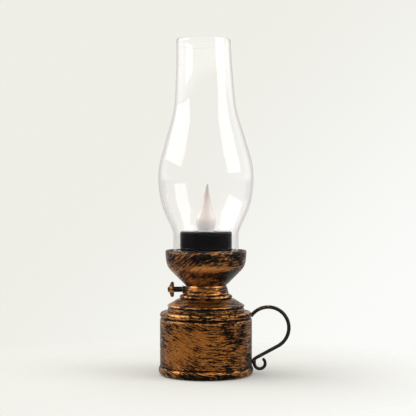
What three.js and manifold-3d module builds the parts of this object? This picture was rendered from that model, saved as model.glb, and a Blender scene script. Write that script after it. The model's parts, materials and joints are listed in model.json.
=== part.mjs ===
// A small antique-style table lamp in the shape of an oil lamp.
// A drum-shaped font carries a stepped dome, a beaded collar, a neck and a cup. A clear glass chimney and a
// battery-powered candle with a flame-shaped diffuser stand in the cup. A wick-style knob turns in the neck, and a
// bent wire handle is brazed to the drum.
// Millimetres, +Z up. The origin is the centre of the pad that the lamp stands on. The handle is on +X, the knob on -X.
import * as THREE from "three";
import { mergeVertices } from "three/addons/utils/BufferGeometryUtils.js";
import Module from "manifold-3d";

const wasm = await Module();
wasm.setup();

// ---- Driving dimensions ---------------------------------------------------------------------------------------

const CLEAR = 0.1; // gap between stacked pieces
const LARGE_SIDES = 28; // facets round a large turned piece
const SMALL_SIDES = 16; // facets round a small one

const FONT = { radius: 33.8, top: 46.3, wall: 1.0, bottom: 0.6 };
const HEM = { radius: 34.8, top: 6.3 };
const GROOVE = { depth: 0.7, bottom: 40.9, top: 42.9 };
const PAD = { radius: 30.0, height: 1.6 };
const BASE_PLATE = { radius: 32.2, thick: 0.8, top: 7.0 };
const DOME = { radius: 28.1, lip: 28.4, lipBottom: 49.9, top: 56.0, topRadius: 19.0, wall: 1.0 };
const COLLAR = { radius: 19.4, bore: 13.5, height: 2.9 };
const NECK = { bottomRadius: 16.9, topRadius: 15.0, bore: 13.6, bottom: 59.1, top: 65.5 };
const CUP = { radius: 29.8, waist: 15.0, top: 91.4, ledge: 89.5, ledgeBore: 26.4, opening: 8.0 };
const TRAY = { radius: 27.5, thick: 0.8, flange: 90.4, channel: 89.1, platform: 91.0, dimple: 88.0 };
const BOLT = { radius: 2.4, headRadius: 4.2, headHeight: 2.3, bottom: 39.9 };
const WASHER = { radius: 6.0, thick: 0.9 };
const NUT = { acrossCorners: 9.2, height: 3.2 };

const WIRE_RADIUS = 1.4; // handle wire
const GRIP = { x: 45.8, z: 34.1, radius: 15.25, from: 137, to: -61.6 }; // large loop of the handle, degrees
const BEND = { x: 35.6, radius: 2.6 }; // where the wire turns down along the drum
const CURL = { x: 39.6, z: 7.9, radius: 4.0, to: 405 }; // small loop at the wire's end

const KNOB = { z: 62.4, back: 23.5, radius: 5.75, rim: 2.4, front: 27.0, flutes: 12, fluteRadius: 0.8 };
const STEM = { radius: 2.0, journal: 1.5, spigot: 1.2, groove: 1.1, inner: 10.4, shoulder: 17.6 };
const BUSH = { radius: 2.4, bore: 1.6, flange: 2.9, inner: 13.0, outer: 17.3, flangeThick: 0.5 };
const CLIP = { outer: 2.9, inner: 1.2, at: 12.0, thick: 0.6, gap: 2.0 };

const GLASS = { wall: 1.6, bottom: 89.3, top: 245.9, edge: 0.5, steps: 16 };

const CANDLE = { radius: 19.1, bottom: 91.2, top: 105.1, wall: 1.2, hole: 5.6 };
const CANDLE_BASE = { radius: 17.7, bottom: 91.4, thick: 1.2 };
const SCREW = { x: 4.5, y: 14.2, radius: 1.0, head: 2.2, top: 97.5, boss: 1.95 };
const CELL = { x: -3.6, radius: 10.0, bottom: 93.6, height: 3.2 };
const DOOR = { radius: 10.6, thick: 1.1, ring: 9.6, lug: 11.9, lugs: 3, lugWidth: 4.0 };
const BOARD = { radius: 12.5, bottom: 98.7, thick: 1.0 };
const LED = { radius: 2.5, flange: 2.9, top: 108.3, leadRadius: 0.25, leadSpacing: 1.27 };
const FLAME = { neck: 5.3, tip: 34.9, waist: 7.0, lean: 1.1, wall: 1.1 }; // heights above the candle's deck
const SWITCH = { x: 10.2, width: 3.6, length: 8.0, bottom: 95.1, nub: 2.0, nubLength: 2.6, travel: 2.0 };

// ---- Finishes --------------------------------------------------------------------------------------------------

const finish = (color, roughness, metalness) => new THREE.MeshStandardMaterial({ color, roughness, metalness });
const bronze = finish(0x7a4a22, 0.45, 0.7);
const blackenedWire = finish(0x15110e, 0.5, 0.5);
const glass = new THREE.MeshStandardMaterial({ color: 0xf2f2f0, roughness: 0.05, transparent: true, opacity: 0.3 });
const blackPlastic = finish(0x0b0b0b, 0.2, 0.0);
const flamePlastic = finish(0xe4dbd4, 0.45, 0.0);
const zincSteel = finish(0xa6a8ab, 0.35, 1.0);
const springSteel = finish(0xc4bfae, 0.3, 1.0);
const felt = finish(0x1b1a19, 0.95, 0.0);
const boardGreen = finish(0x1d5b34, 0.5, 0.0);
const clearResin = finish(0xf3ead2, 0.1, 0.0);

// ---- Solid making ----------------------------------------------------------------------------------------------

const lamp = new THREE.Group();

/** A turned solid about Z. The profile is a list of [radius, height], anticlockwise, open only at the axis. */
function turned(profile, sides = LARGE_SIDES) {
  const points = profile.map(([radius, height]) => new THREE.Vector2(radius, height));
  const onAxis = profile[0][0] === 0 && profile.at(-1)[0] === 0;
  if (!onAxis) points.push(points[0].clone());
  return new THREE.LatheGeometry(points, sides).rotateX(Math.PI / 2);
}

/** A plain cylinder along Z from one height to another. */
function cylinder(radius, bottom, top, sides = SMALL_SIDES) {
  return turned([[0, bottom], [radius, bottom], [radius, top], [0, top]], sides);
}

/** A box from its two corners. */
function block([x0, y0, z0], [x1, y1, z1]) {
  const geometry = new THREE.BoxGeometry(x1 - x0, y1 - y0, z1 - z0);
  return geometry.translate((x0 + x1) / 2, (y0 + y1) / 2, (z0 + z1) / 2);
}

/** The closed solid of a geometry, for joining and cutting. */
function solid(geometry) {
  const bare = geometry.index ? geometry.toNonIndexed() : geometry.clone();
  const positions = new THREE.BufferGeometry().setAttribute("position", bare.getAttribute("position"));
  const merged = mergeVertices(positions, 1e-4);
  const mesh = new wasm.Mesh({
    numProp: 3,
    vertProperties: merged.attributes.position.array,
    triVerts: new Uint32Array(merged.index.array),
  });
  return new wasm.Manifold(mesh);
}

/** The geometry of a solid, with flat normals. */
function geometryOf(made) {
  const mesh = made.getMesh();
  const geometry = new THREE.BufferGeometry();
  geometry.setAttribute("position", new THREE.BufferAttribute(mesh.vertProperties, 3));
  geometry.setIndex(new THREE.BufferAttribute(mesh.triVerts, 1));
  const flat = geometry.toNonIndexed();
  flat.computeVertexNormals();
  return flat;
}

const joined = (first, ...others) => others.reduce((made, other) => made.add(solid(other)), solid(first));
const cut = (made, ...tools) => tools.reduce((rest, tool) => rest.subtract(solid(tool)), made);

/** Adds a named piece to a group. */
function piece(name, geometry, material, group = lamp) {
  const mesh = new THREE.Mesh(geometry, material);
  mesh.name = name;
  group.add(mesh);
  return mesh;
}

// ---- Font: pad, base plate, drum and dome ----------------------------------------------------------------------

/** Felt pad that the lamp stands on. */
function basePad() {
  const edge = 0.4;
  return turned([[0, 0], [PAD.radius - edge, 0], [PAD.radius, edge], [PAD.radius, PAD.height], [0, PAD.height]]);
}

/** Pressed pan that closes the drum from below. */
function basePlate() {
  const { radius, thick, top } = BASE_PLATE;
  const bottom = PAD.height + CLEAR;
  return turned([
    [0, bottom], [radius - thick, bottom], [radius, bottom + thick], [radius, top],
    [radius - thick, top], [radius - thick, bottom + thick], [0, bottom + thick],
  ]);
}

/** Drum with a rolled hem below, a pressed groove near the top and a flat deck with a bolt hole. */
function fontShell() {
  const { radius, top, wall, bottom } = FONT;
  const inner = radius - wall;
  const grooveRadius = radius - GROOVE.depth;
  return turned([
    [inner - 0.2, bottom], [inner + 0.4, bottom], [HEM.radius - 0.6, 1.2], [HEM.radius, 2.6],
    [HEM.radius, HEM.top - 1.7], [HEM.radius - 0.3, HEM.top - 0.7], [radius + 0.1, HEM.top], [radius, HEM.top + 0.9],
    [radius, GROOVE.bottom], [grooveRadius, GROOVE.bottom + 0.6], [grooveRadius, GROOVE.top - 0.6],
    [radius, GROOVE.top], [radius, top - 1.9], [radius - 0.5, top - 0.7], [radius - 1.6, top],
    [BOLT.radius + 0.8, top], [BOLT.radius + 0.8, top - wall], [inner - 0.8, top - wall], [inner, top - 1.8],
    [inner, GROOVE.top + 0.4], [inner - GROOVE.depth, GROOVE.top - 0.2],
    [inner - GROOVE.depth, GROOVE.bottom + 0.2], [inner, GROOVE.bottom - 0.4], [inner, 2.6],
  ]);
}

/** Stepped dome on the drum's deck: an upright band, a lip and a shallow cone. */
function fontDome() {
  const { radius, lip, lipBottom, top, topRadius, wall } = DOME;
  const bottom = FONT.top + CLEAR;
  return turned([
    [radius, bottom], [radius, lipBottom - 1.2], [radius - 0.5, lipBottom - 0.8], [radius - 0.5, lipBottom - 0.4],
    [lip - 0.1, lipBottom], [lip, lipBottom + 0.6], [lip - 0.5, lipBottom + 1.2],
    [26.1, lipBottom + 2.3], [21.7, top - 0.8], [topRadius, top], [NECK.bore, top], [NECK.bore, top - wall],
    [topRadius - 0.3, top - wall], [21.3, top - 1.9], [25.5, lipBottom + 1.4], [radius - wall - 0.2, lipBottom + 0.5], [radius - wall - 0.5, lipBottom - 0.8],
    [radius - wall, lipBottom - 1.6], [radius - wall, bottom],
  ]);
}

piece("base_pad", basePad(), felt);
piece("base_plate", basePlate(), zincSteel);
piece("font_shell", fontShell(), bronze);
piece("font_dome", fontDome(), bronze);

// ---- Neck: collar, sleeve, cup, tray and the bolt that clamps them ----------------------------------------------

/** Beaded ring between dome and neck. */
function collarRing() {
  const bottom = DOME.top + CLEAR;
  const { radius, bore, height } = COLLAR;
  return turned([
    [bore, bottom], [radius - 1.0, bottom], [radius - 0.2, bottom + 0.5], [radius, bottom + 1.2],
    [radius - 0.2, bottom + 1.9], [radius - 1.1, bottom + 2.6], [radius - 2.4, bottom + height],
    [bore, bottom + height],
  ]);
}

/** Tapered neck with a round hole in its side for the knob's bush. */
function neckSleeve() {
  const { bottomRadius, topRadius, bore, bottom, top } = NECK;
  const sleeve = solid(turned([
    [bore, bottom], [bottomRadius, bottom], [16.5, bottom + 1.5], [16.2, bottom + 3.3], [15.6, bottom + 5.0],
    [topRadius, top - CLEAR], [bore, top - CLEAR],
  ]));
  const drill = cylinder(BUSH.radius + CLEAR, 8, 20).rotateY(-Math.PI / 2).translate(0, 0, KNOB.z);
  return geometryOf(cut(sleeve, drill));
}

/** Bowl-shaped cup, with a ledge inside its rim that carries the tray. */
function galleryCup() {
  const { radius, waist, top, ledge, ledgeBore, opening } = CUP;
  const bottom = NECK.top;
  return turned([
    [opening, bottom], [waist, bottom], [17.3, bottom + 2.2], [23.2, bottom + 8.2], [26.1, bottom + 11.1],
    [27.5, bottom + 12.9], [28.5, bottom + 14.9], [29.2, bottom + 17.4], [29.6, bottom + 20.4],
    [radius, bottom + 23.1], [radius, top - 1.1], [radius - 0.3, top - 0.3],
    [radius - 0.9, top], [radius - 1.5, top], [radius - 1.9, top - 0.4], [radius - 2.0, ledge],
    [ledgeBore, ledge], [ledgeBore, ledge - 1.0], [28.2, bottom + 20.8], [27.8, bottom + 17.8],
    [27.1, bottom + 15.6], [26.3, bottom + 14.0], [25.0, bottom + 12.2], [16.4, bottom + 3.4],
    [14.2, bottom + 1.2], [opening, bottom + 1.2],
  ]);
}

/** Pressed tray in the cup: flange, channel for the glass, platform for the candle, dimple for the bolt head. */
function galleryTray() {
  const { radius, thick, flange, channel, platform, dimple } = TRAY;
  const hole = BOLT.radius + 0.3;
  return turned([
    [hole, dimple - thick], [6.2, dimple - thick], [7.4, platform - thick], [20.2, platform - thick],
    [21.2, channel - thick], [25.5, channel - thick], [26.2, flange - thick], [radius, flange - thick],
    [radius, flange], [25.6, flange], [24.9, channel], [21.8, channel], [20.9, platform], [6.8, platform],
    [5.6, dimple], [hole, dimple],
  ]);
}

/** Pan-head bolt down the middle of the lamp. */
function tieBolt() {
  const { radius, headRadius, headHeight, bottom } = BOLT;
  const seat = TRAY.dimple + CLEAR;
  return turned([
    [0, bottom], [radius - 0.5, bottom], [radius, bottom + 0.5], [radius, seat], [headRadius, seat],
    [headRadius, seat + headHeight - 0.9], [headRadius - 1.2, seat + headHeight], [0, seat + headHeight],
  ], SMALL_SIDES);
}

const underDeck = FONT.top - FONT.wall - CLEAR;

/** Flat washer under the drum's deck. */
function tieWasher() {
  const bore = BOLT.radius + 0.2;
  const bottom = underDeck - WASHER.thick;
  return turned([[bore, bottom], [WASHER.radius, bottom], [WASHER.radius, underDeck], [bore, underDeck]], SMALL_SIDES);
}

/** Hexagon nut below the washer. */
function tieNut() {
  const top = underDeck - WASHER.thick - CLEAR;
  const hexagon = solid(cylinder(NUT.acrossCorners / 2, top - NUT.height, top, 6));
  return geometryOf(cut(hexagon, cylinder(BOLT.radius + CLEAR, top - NUT.height - 1, top + 1)));
}

piece("collar_ring", collarRing(), bronze);
piece("neck_sleeve", neckSleeve(), bronze);
piece("gallery_cup", galleryCup(), bronze);
piece("gallery_tray", galleryTray(), bronze);
piece("tie_bolt", tieBolt(), zincSteel);
piece("tie_washer", tieWasher(), zincSteel);
piece("tie_nut", tieNut(), zincSteel);

// ---- Handle: one bent wire ---------------------------------------------------------------------------------------

/** Points on a circle in the XZ plane, between two angles in degrees. */
function arcPoints(x, z, radius, from, to, steps) {
  return Array.from({ length: steps + 1 }, (_, i) => {
    const angle = THREE.MathUtils.degToRad(from + ((to - from) * i) / steps);
    return new THREE.Vector3(x + radius * Math.cos(angle), 0, z + radius * Math.sin(angle));
  });
}

/** The wire's middle line: large loop, straight run down to the drum, short bend, small loop. */
function handlePath() {
  const grip = arcPoints(GRIP.x, GRIP.z, GRIP.radius, GRIP.from, GRIP.to, 14);
  const end = grip.at(-1);
  const heading = THREE.MathUtils.degToRad(GRIP.to - 90);
  const run = (end.x - BEND.x) / -Math.cos(heading); // where the straight run would meet the drum
  const cornerZ = end.z + run * Math.sin(heading);
  const turn = Math.PI / 2 + heading + Math.PI; // angle the wire turns through to point straight down
  const bendZ = cornerZ - BEND.radius * Math.tan(Math.abs(Math.PI - turn) / 2);
  const startAngle = 90 + THREE.MathUtils.radToDeg(Math.PI + heading);
  const bend = arcPoints(BEND.x + BEND.radius, bendZ, BEND.radius, startAngle, 180, 4);
  const curl = arcPoints(CURL.x, CURL.z, CURL.radius, 180, CURL.to, 12);
  const middle = new THREE.Vector3().lerpVectors(end, bend[0], 0.5);
  return new THREE.CatmullRomCurve3([...grip, middle, ...bend, ...curl]);
}

/** Wire swept along the path. */
function handle() {
  const section = new THREE.Shape().absarc(0, 0, WIRE_RADIUS, 0, 2 * Math.PI);
  return new THREE.ExtrudeGeometry(section, { steps: 50, curveSegments: 5, extrudePath: handlePath() });
}

piece("handle", handle(), blackenedWire);

// ---- Knob: it turns in a bush in the neck's side. Its group's Z axis points out along -X -----------------------

const knobGroup = new THREE.Group();
knobGroup.position.z = KNOB.z;
knobGroup.rotation.y = -Math.PI / 2;
lamp.add(knobGroup);

/** Flanged bush fixed in the neck. */
function stemBush() {
  const { radius, bore, flange, inner, outer, flangeThick } = BUSH;
  return turned([
    [bore, inner], [radius, inner], [radius, outer - flangeThick], [flange, outer - flangeThick],
    [flange, outer], [bore, outer],
  ], SMALL_SIDES);
}

/** Stem with a journal in the bush, a groove for the clip and a spigot for the knob. */
function knobStem() {
  const { radius, journal, spigot, groove, inner, shoulder } = STEM;
  const { at, thick } = CLIP;
  return turned([
    [0, inner], [journal, inner], [journal, at - CLEAR], [groove, at - CLEAR], [groove, at + thick + CLEAR],
    [journal, at + thick + CLEAR], [journal, shoulder], [radius, shoulder + 0.2], [radius, KNOB.back - CLEAR],
    [spigot, KNOB.back - CLEAR], [spigot, KNOB.front - CLEAR], [0, KNOB.front - CLEAR],
  ], SMALL_SIDES);
}

/** Open retaining ring in the stem's groove. */
function stemClip() {
  const { outer, inner, at, thick, gap } = CLIP;
  const ring = solid(turned([[inner, at], [outer, at], [outer, at + thick], [inner, at + thick]], SMALL_SIDES));
  return geometryOf(cut(ring, block([-gap / 2, 0, at - 1], [gap / 2, outer + 1, at + thick + 1])));
}

/** Domed finger wheel with flutes round its rim. */
function knobWheel() {
  const { back, radius, rim, front, flutes, fluteRadius } = KNOB;
  const bore = STEM.spigot + CLEAR;
  const wheel = solid(turned([
    [bore, back], [radius - 0.4, back], [radius, back + 0.6], [radius, back + rim - 0.6],
    [radius - 0.5, back + rim], [radius - 1.6, back + rim + 0.4], [2.6, front], [bore, front],
  ], flutes * 2));
  const cutters = Array.from({ length: flutes }, (_, i) => {
    const angle = (2 * Math.PI * i) / flutes;
    const reach = radius + fluteRadius * 0.35;
    const cutter = cylinder(fluteRadius, back - 1, front + 1, 6);
    return cutter.translate(reach * Math.cos(angle), reach * Math.sin(angle), 0);
  });
  return geometryOf(cut(wheel, ...cutters));
}

/** Domed rivet head on the spigot's end. */
function knobRivet() {
  const back = KNOB.front + CLEAR;
  return turned([[0, back], [2.1, back], [2.0, back + 0.5], [1.2, back + 1.0], [0, back + 1.15]], SMALL_SIDES);
}

piece("stem_bush", stemBush(), blackenedWire, knobGroup);
piece("knob_stem", knobStem(), blackenedWire, knobGroup);
piece("stem_clip", stemClip(), springSteel, knobGroup);
piece("knob_wheel", knobWheel(), bronze, knobGroup);
piece("knob_rivet", knobRivet(), bronze, knobGroup);

// ---- Chimney: clear glass, open at both ends ---------------------------------------------------------------------

/** Outside radius of the glass against height above its foot: straight foot, bulb, long waisted neck. */
const glassLine = new THREE.SplineCurve([
  [24.0, 0], [24.0, 12.7], [24.7, 17.5], [29.6, 28.1], [33.6, 40.0], [35.05, 54.0], [33.6, 67.9], [29.7, 81.5],
  [25.2, 96.2], [22.2, 110.1], [21.1, 126.0], [20.2, 142.9], [19.9, GLASS.top - GLASS.bottom],
].map(([radius, height]) => new THREE.Vector2(radius, GLASS.bottom + height)));

/** Blown glass shell with rounded edges. */
function chimney() {
  const { wall, edge, bottom, top } = GLASS;
  const outer = glassLine.getPoints(GLASS.steps).map(({ x, y }) => [x, y]);
  const middle = outer.slice(1, -1);
  const inner = middle.map(([radius, height]) => [radius - wall, height]).reverse();
  const [footRadius, mouthRadius] = [outer[0][0], outer.at(-1)[0]];
  return turned([
    [footRadius - wall + edge, bottom], [footRadius - edge, bottom], [footRadius, bottom + edge], ...middle,
    [mouthRadius, top - edge], [mouthRadius - edge, top], [mouthRadius - wall + edge, top],
    [mouthRadius - wall, top - edge], ...inner, [footRadius - wall, bottom + edge],
  ]);
}

piece("chimney", chimney(), glass);

// ---- Candle: case, flame and the parts inside --------------------------------------------------------------------

const screwPlaces = [[SCREW.x, SCREW.y], [SCREW.x, -SCREW.y]];
const baseTop = CANDLE_BASE.bottom + CANDLE_BASE.thick;

/** Round case, open below, with two screw bosses under its deck. */
function candleCase() {
  const { radius, bottom, top, wall, hole } = CANDLE;
  const inner = radius - wall;
  const deck = top - wall + CLEAR;
  const shell = turned([
    [inner, bottom], [radius, bottom], [radius, top - 1.1], [radius - 0.3, top - 0.3], [radius - 1.1, top],
    [hole, top], [hole, deck], [inner - 0.3, deck], [inner, deck - 0.4],
  ]);
  const bosses = screwPlaces.map(([x, y]) => cylinder(SCREW.boss, baseTop + CLEAR, deck + 0.5, 14).translate(x, y, 0));
  const pilots = screwPlaces.map(([x, y]) => cylinder(SCREW.radius + CLEAR, bottom - 1, SCREW.top + 0.5, 12).translate(x, y, 0));
  return geometryOf(cut(joined(shell, ...bosses), ...pilots));
}

/** Flame-shaped diffuser: hollow, with a flange that holds it under the deck. Its tip leans a little to +X. */
function candleFlame() {
  const { neck, tip, waist, lean, wall } = FLAME;
  const seat = -CANDLE.wall - CLEAR;
  const outside = [
    [0, tip], [0.7, tip - 0.5], [1.05, 31.2], [1.75, 26.6], [2.97, 21.4], [4.64, 16.2], [6.2, 12.0],
    [7.1, 9.6], [7.35, 7.6], [7.0, 4.9], [6.1, 2.6], [neck, 1.0], [neck, seat], [7.2, seat], [7.2, seat - 0.8],
  ];
  const inside = [
    [neck - wall, seat - 0.8], [neck - wall, 1.3], [5.9, 4.9], [6.2, 7.6], [5.1, 12.0], [3.5, 16.2],
    [1.8, 21.4], [0.7, 26.0], [0, 28.0],
  ];
  const flame = turned([...outside, ...inside].reverse(), SMALL_SIDES);
  const points = flame.getAttribute("position");
  for (let i = 0; i < points.count; i += 1) {
    const rise = Math.max(0, (points.getZ(i) - waist) / (tip - waist));
    points.setX(i, points.getX(i) + lean * rise ** 1.5);
  }
  flame.translate(0, 0, CANDLE.top);
  return flame;
}

/** Three arms or notches round the battery door's middle, turned by an angle in degrees. */
function bayonetBars(reach, width, bottom, top, turn) {
  return Array.from({ length: DOOR.lugs }, (_, i) => {
    const bar = block([0, -width / 2, bottom], [reach, width / 2, top]);
    return bar.rotateZ(THREE.MathUtils.degToRad(turn + (360 * i) / DOOR.lugs)).translate(CELL.x, 0, 0);
  });
}

/** Bottom cover: a battery opening with bayonet notches, a slot for the switch and two countersunk holes. */
function candleBase() {
  const { radius, bottom } = CANDLE_BASE;
  const plate = solid(cylinder(radius, bottom, baseTop, LARGE_SIDES));
  const opening = cylinder(DOOR.radius + 0.2, bottom - 1, baseTop + 1, LARGE_SIDES).translate(CELL.x, 0, 0);
  const notches = bayonetBars(DOOR.lug + 0.3, DOOR.lugWidth + 0.6, bottom - 1, baseTop + 1, 30);
  const half = SWITCH.nubLength / 2 + 0.3;
  const slotX = [SWITCH.x - SWITCH.nub / 2 - 0.2, SWITCH.x + SWITCH.nub / 2 + 0.2];
  const slot = block([slotX[0], -half, bottom - 1], [slotX[1], half + SWITCH.travel, baseTop + 1]);
  const sinks = screwPlaces.map(([x, y]) => turned([
    [0, bottom - 0.1], [SCREW.head + 0.3, bottom - 0.1], [SCREW.head + 0.3, bottom], [SCREW.radius + 0.25, baseTop],
    [SCREW.radius + 0.25, baseTop + 0.1], [0, baseTop + 0.1],
  ], 14).translate(x, y, 0));
  return geometryOf(cut(plate, opening, ...notches, slot, ...sinks));
}

/** Countersunk screw that holds the bottom cover to a boss. */
function candleScrew(x, y) {
  const head = CANDLE_BASE.bottom + CLEAR;
  return turned([
    [0, head], [SCREW.head, head], [SCREW.radius, head + 1.0], [SCREW.radius, SCREW.top - 0.7],
    [0, SCREW.top],
  ], 12).translate(x, y, 0);
}

/** Battery door: a disc with a coin slot, a ring through the opening and three lugs above the cover. */
function batteryDoor() {
  const { radius, thick, ring, lug, lugWidth } = DOOR;
  const { bottom } = CANDLE_BASE;
  const lugBottom = baseTop + CLEAR;
  const lugTop = CELL.bottom - 0.3;
  const disc = cylinder(radius, bottom, bottom + thick, LARGE_SIDES).translate(CELL.x, 0, 0);
  const hub = cylinder(ring, bottom + thick - 0.2, lugTop, LARGE_SIDES).translate(CELL.x, 0, 0);
  const arms = bayonetBars(lug, lugWidth, lugBottom, lugTop, 0);
  const coinSlot = block([CELL.x - 5.5, -0.8, bottom - 1], [CELL.x + 5.5, 0.8, bottom + 0.6]);
  return geometryOf(cut(joined(disc, hub, ...arms), coinSlot));
}

/** Coin cell: a wide can with a smaller cap facing up. */
function coinCell() {
  const { x, radius, bottom, height } = CELL;
  const top = bottom + height;
  return turned([
    [0, bottom], [radius - 0.2, bottom], [radius, bottom + 0.2], [radius, top - 0.5], [radius - 0.9, top - 0.4],
    [radius - 1.1, top], [0, top],
  ], SMALL_SIDES).translate(x, 0, 0);
}

/** Leaf above the cell, folded up to the board. */
function contactNegative() {
  const top = CELL.bottom + CELL.height;
  const leaf = block([CELL.x - 8, -1.5, top + CLEAR], [CELL.x + 2, 1.5, top + 0.4]);
  const leg = block([CELL.x - 8, -1.5, top + CLEAR], [CELL.x - 7.7, 1.5, BOARD.bottom - CLEAR]);
  return geometryOf(joined(leaf, leg));
}

/** Leaf against the cell's edge, folded over at the board. */
function contactPositive() {
  const edge = CELL.x + CELL.radius + 0.15;
  const leaf = block([edge, -2, CELL.bottom + 0.4], [edge + 0.3, 2, BOARD.bottom - CLEAR]);
  const foot = block([edge, -2, BOARD.bottom - 0.4], [edge + 1.2, 2, BOARD.bottom - CLEAR]);
  return geometryOf(joined(leaf, foot));
}

/** Round circuit board with two holes for the lamp's leads. */
function circuitBoard() {
  const { radius, bottom, thick } = BOARD;
  const disc = solid(cylinder(radius, bottom, bottom + thick, LARGE_SIDES));
  const holes = [-1, 1].map((side) =>
    cylinder(LED.leadRadius + 0.2, bottom - 1, bottom + thick + 1, 8).translate(side * LED.leadSpacing, 0, 0));
  return geometryOf(cut(disc, ...holes));
}

/** Light-emitting diode: domed lens on a flange, with two leads through the board. */
function candleLed() {
  const { radius, flange, top, leadRadius, leadSpacing } = LED;
  const seat = BOARD.bottom + BOARD.thick + CLEAR;
  const lens = turned([
    [0, seat], [flange, seat], [flange, seat + 1.0], [radius, seat + 1.0], [radius, top - radius],
    [radius * 0.87, top - radius * 0.5], [radius * 0.5, top - radius * 0.13], [0, top],
  ], 16);
  const leads = [-1, 1].map((side) =>
    cylinder(leadRadius, BOARD.bottom - 1.0, seat + 0.5, 6).translate(side * leadSpacing, 0, 0));
  return geometryOf(joined(lens, ...leads));
}

/** Slide switch's housing under the board. */
function switchBody() {
  const { x, width, length, bottom } = SWITCH;
  return block([x - width / 2, -length / 2 + 1, bottom], [x + width / 2, length / 2 + 1, BOARD.bottom - CLEAR]);
}

/** Switch slider: a nub in the cover's slot, with a plate above the cover that keeps it in. */
function switchSlider() {
  const { x, nub, nubLength, bottom } = SWITCH;
  const stem = block([x - nub / 2, -nubLength / 2, CANDLE_BASE.bottom + CLEAR], [x + nub / 2, nubLength / 2, bottom - 0.3]);
  const plate = block([x - 1.5, -2.6, baseTop + 0.2], [x + 1.5, 2.6, baseTop + 0.9]);
  return geometryOf(joined(stem, plate));
}

piece("candle_case", candleCase(), blackPlastic);
piece("candle_flame", candleFlame(), flamePlastic);
piece("candle_base", candleBase(), blackPlastic);
screwPlaces.forEach(([x, y], i) => piece(`candle_screw_${i + 1}`, candleScrew(x, y), zincSteel));
piece("battery_door", batteryDoor(), blackPlastic);
piece("coin_cell", coinCell(), zincSteel);
piece("contact_negative", contactNegative(), springSteel);
piece("contact_positive", contactPositive(), springSteel);
piece("circuit_board", circuitBoard(), boardGreen);
piece("candle_led", candleLed(), clearResin);
piece("switch_body", switchBody(), blackPlastic);
piece("switch_slider", switchSlider(), blackPlastic);

export default lamp;
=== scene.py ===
"""The looks of a table lamp in the shape of an old oil lamp: bronze brushed over black metal, a clear glass
chimney, and a battery candle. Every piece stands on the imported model's own places. Metres, +Z up."""

import json
import logging
import math
from collections.abc import Callable
from dataclasses import dataclass, field, replace
from enum import Enum

import bmesh
import bpy
import numpy as np
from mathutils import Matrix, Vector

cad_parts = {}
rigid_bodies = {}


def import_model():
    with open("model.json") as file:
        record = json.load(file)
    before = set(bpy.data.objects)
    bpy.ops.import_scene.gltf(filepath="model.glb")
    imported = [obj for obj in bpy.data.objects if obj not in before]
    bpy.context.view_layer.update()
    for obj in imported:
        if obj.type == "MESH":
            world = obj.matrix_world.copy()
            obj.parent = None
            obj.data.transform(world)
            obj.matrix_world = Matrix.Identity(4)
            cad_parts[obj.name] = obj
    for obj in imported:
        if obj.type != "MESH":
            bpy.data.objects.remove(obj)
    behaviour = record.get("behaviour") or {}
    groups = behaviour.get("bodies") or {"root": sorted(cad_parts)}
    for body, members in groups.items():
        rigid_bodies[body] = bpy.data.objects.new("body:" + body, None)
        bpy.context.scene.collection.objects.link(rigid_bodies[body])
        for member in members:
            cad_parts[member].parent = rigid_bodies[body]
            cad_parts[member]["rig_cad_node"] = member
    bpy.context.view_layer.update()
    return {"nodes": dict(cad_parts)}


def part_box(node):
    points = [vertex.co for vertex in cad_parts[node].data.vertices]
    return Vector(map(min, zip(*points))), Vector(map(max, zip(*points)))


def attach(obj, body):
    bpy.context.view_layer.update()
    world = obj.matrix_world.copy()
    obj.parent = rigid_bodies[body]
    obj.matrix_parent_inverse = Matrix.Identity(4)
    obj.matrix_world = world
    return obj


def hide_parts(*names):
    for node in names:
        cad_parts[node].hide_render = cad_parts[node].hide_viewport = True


LOG = logging.getLogger("lamp")
MM = 0.001
TAU = 2 * math.pi
ROUND = 128  # segments round a large turned piece
SMALL_ROUND = 64  # segments round a small one
MERGE = 1e-7  # metres within which two points of a mesh are taken as one
FLAT = 1e-8  # metres under which an edge is taken as having no length
SHARP = 35  # degrees from which an edge of a cut piece stays sharp
CORNER_LIMIT = 0.45  # share of an edge that one rounded corner may take up

Pair = tuple[float, float]
Points = tuple[Pair, ...]
Triple = tuple[float, float, float]
Colour = tuple[float, float, float]
Socket = bpy.types.NodeSocket
Value = float | tuple | Socket


class Body(Enum):
    """The CAD bodies that pieces ride on."""

    LAMP = "lamp_body"
    KNOB = "knob"
    CHIMNEY = "glass_chimney"
    CANDLE = "candle"


class Slot(Enum):
    """The record's material slots."""

    BRONZE = "bronze_paint"
    WIRE = "black_wire"
    GLASS = "clear_glass"
    BLACK = "black_plastic"
    FLAME = "flame_plastic"
    ZINC = "zinc_steel"
    SPRING = "spring_steel"
    FELT = "felt"
    BOARD = "board_green"
    RESIN = "clear_resin"


class Thickest(Enum):
    """Where a lump of braze is thickest."""

    START = "start"
    MIDDLE = "middle"


# ---- Surfaces --------------------------------------------------------------------------------------


@dataclass(frozen=True)
class Place:
    """Where a CAD node lies, in metres.

    Attributes:
        low: lowest corner.
        high: highest corner.
    """

    low: Triple
    high: Triple

    @classmethod
    def of(cls, node: str) -> "Place":
        """Reads a node's box from the frame."""
        low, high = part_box(node)
        return cls(tuple(low), tuple(high))

    @property
    def bottom(self) -> float:
        """The node's lowest height in millimetres."""
        return self.low[2] / MM

    @property
    def top(self) -> float:
        """The node's highest height in millimetres."""
        return self.high[2] / MM

    @property
    def middle(self) -> float:
        """The height halfway up the node in millimetres."""
        return (self.low[2] + self.high[2]) / 2 / MM

    @property
    def radius(self) -> float:
        """The node's reach along +X in millimetres."""
        return self.high[0] / MM


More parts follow.
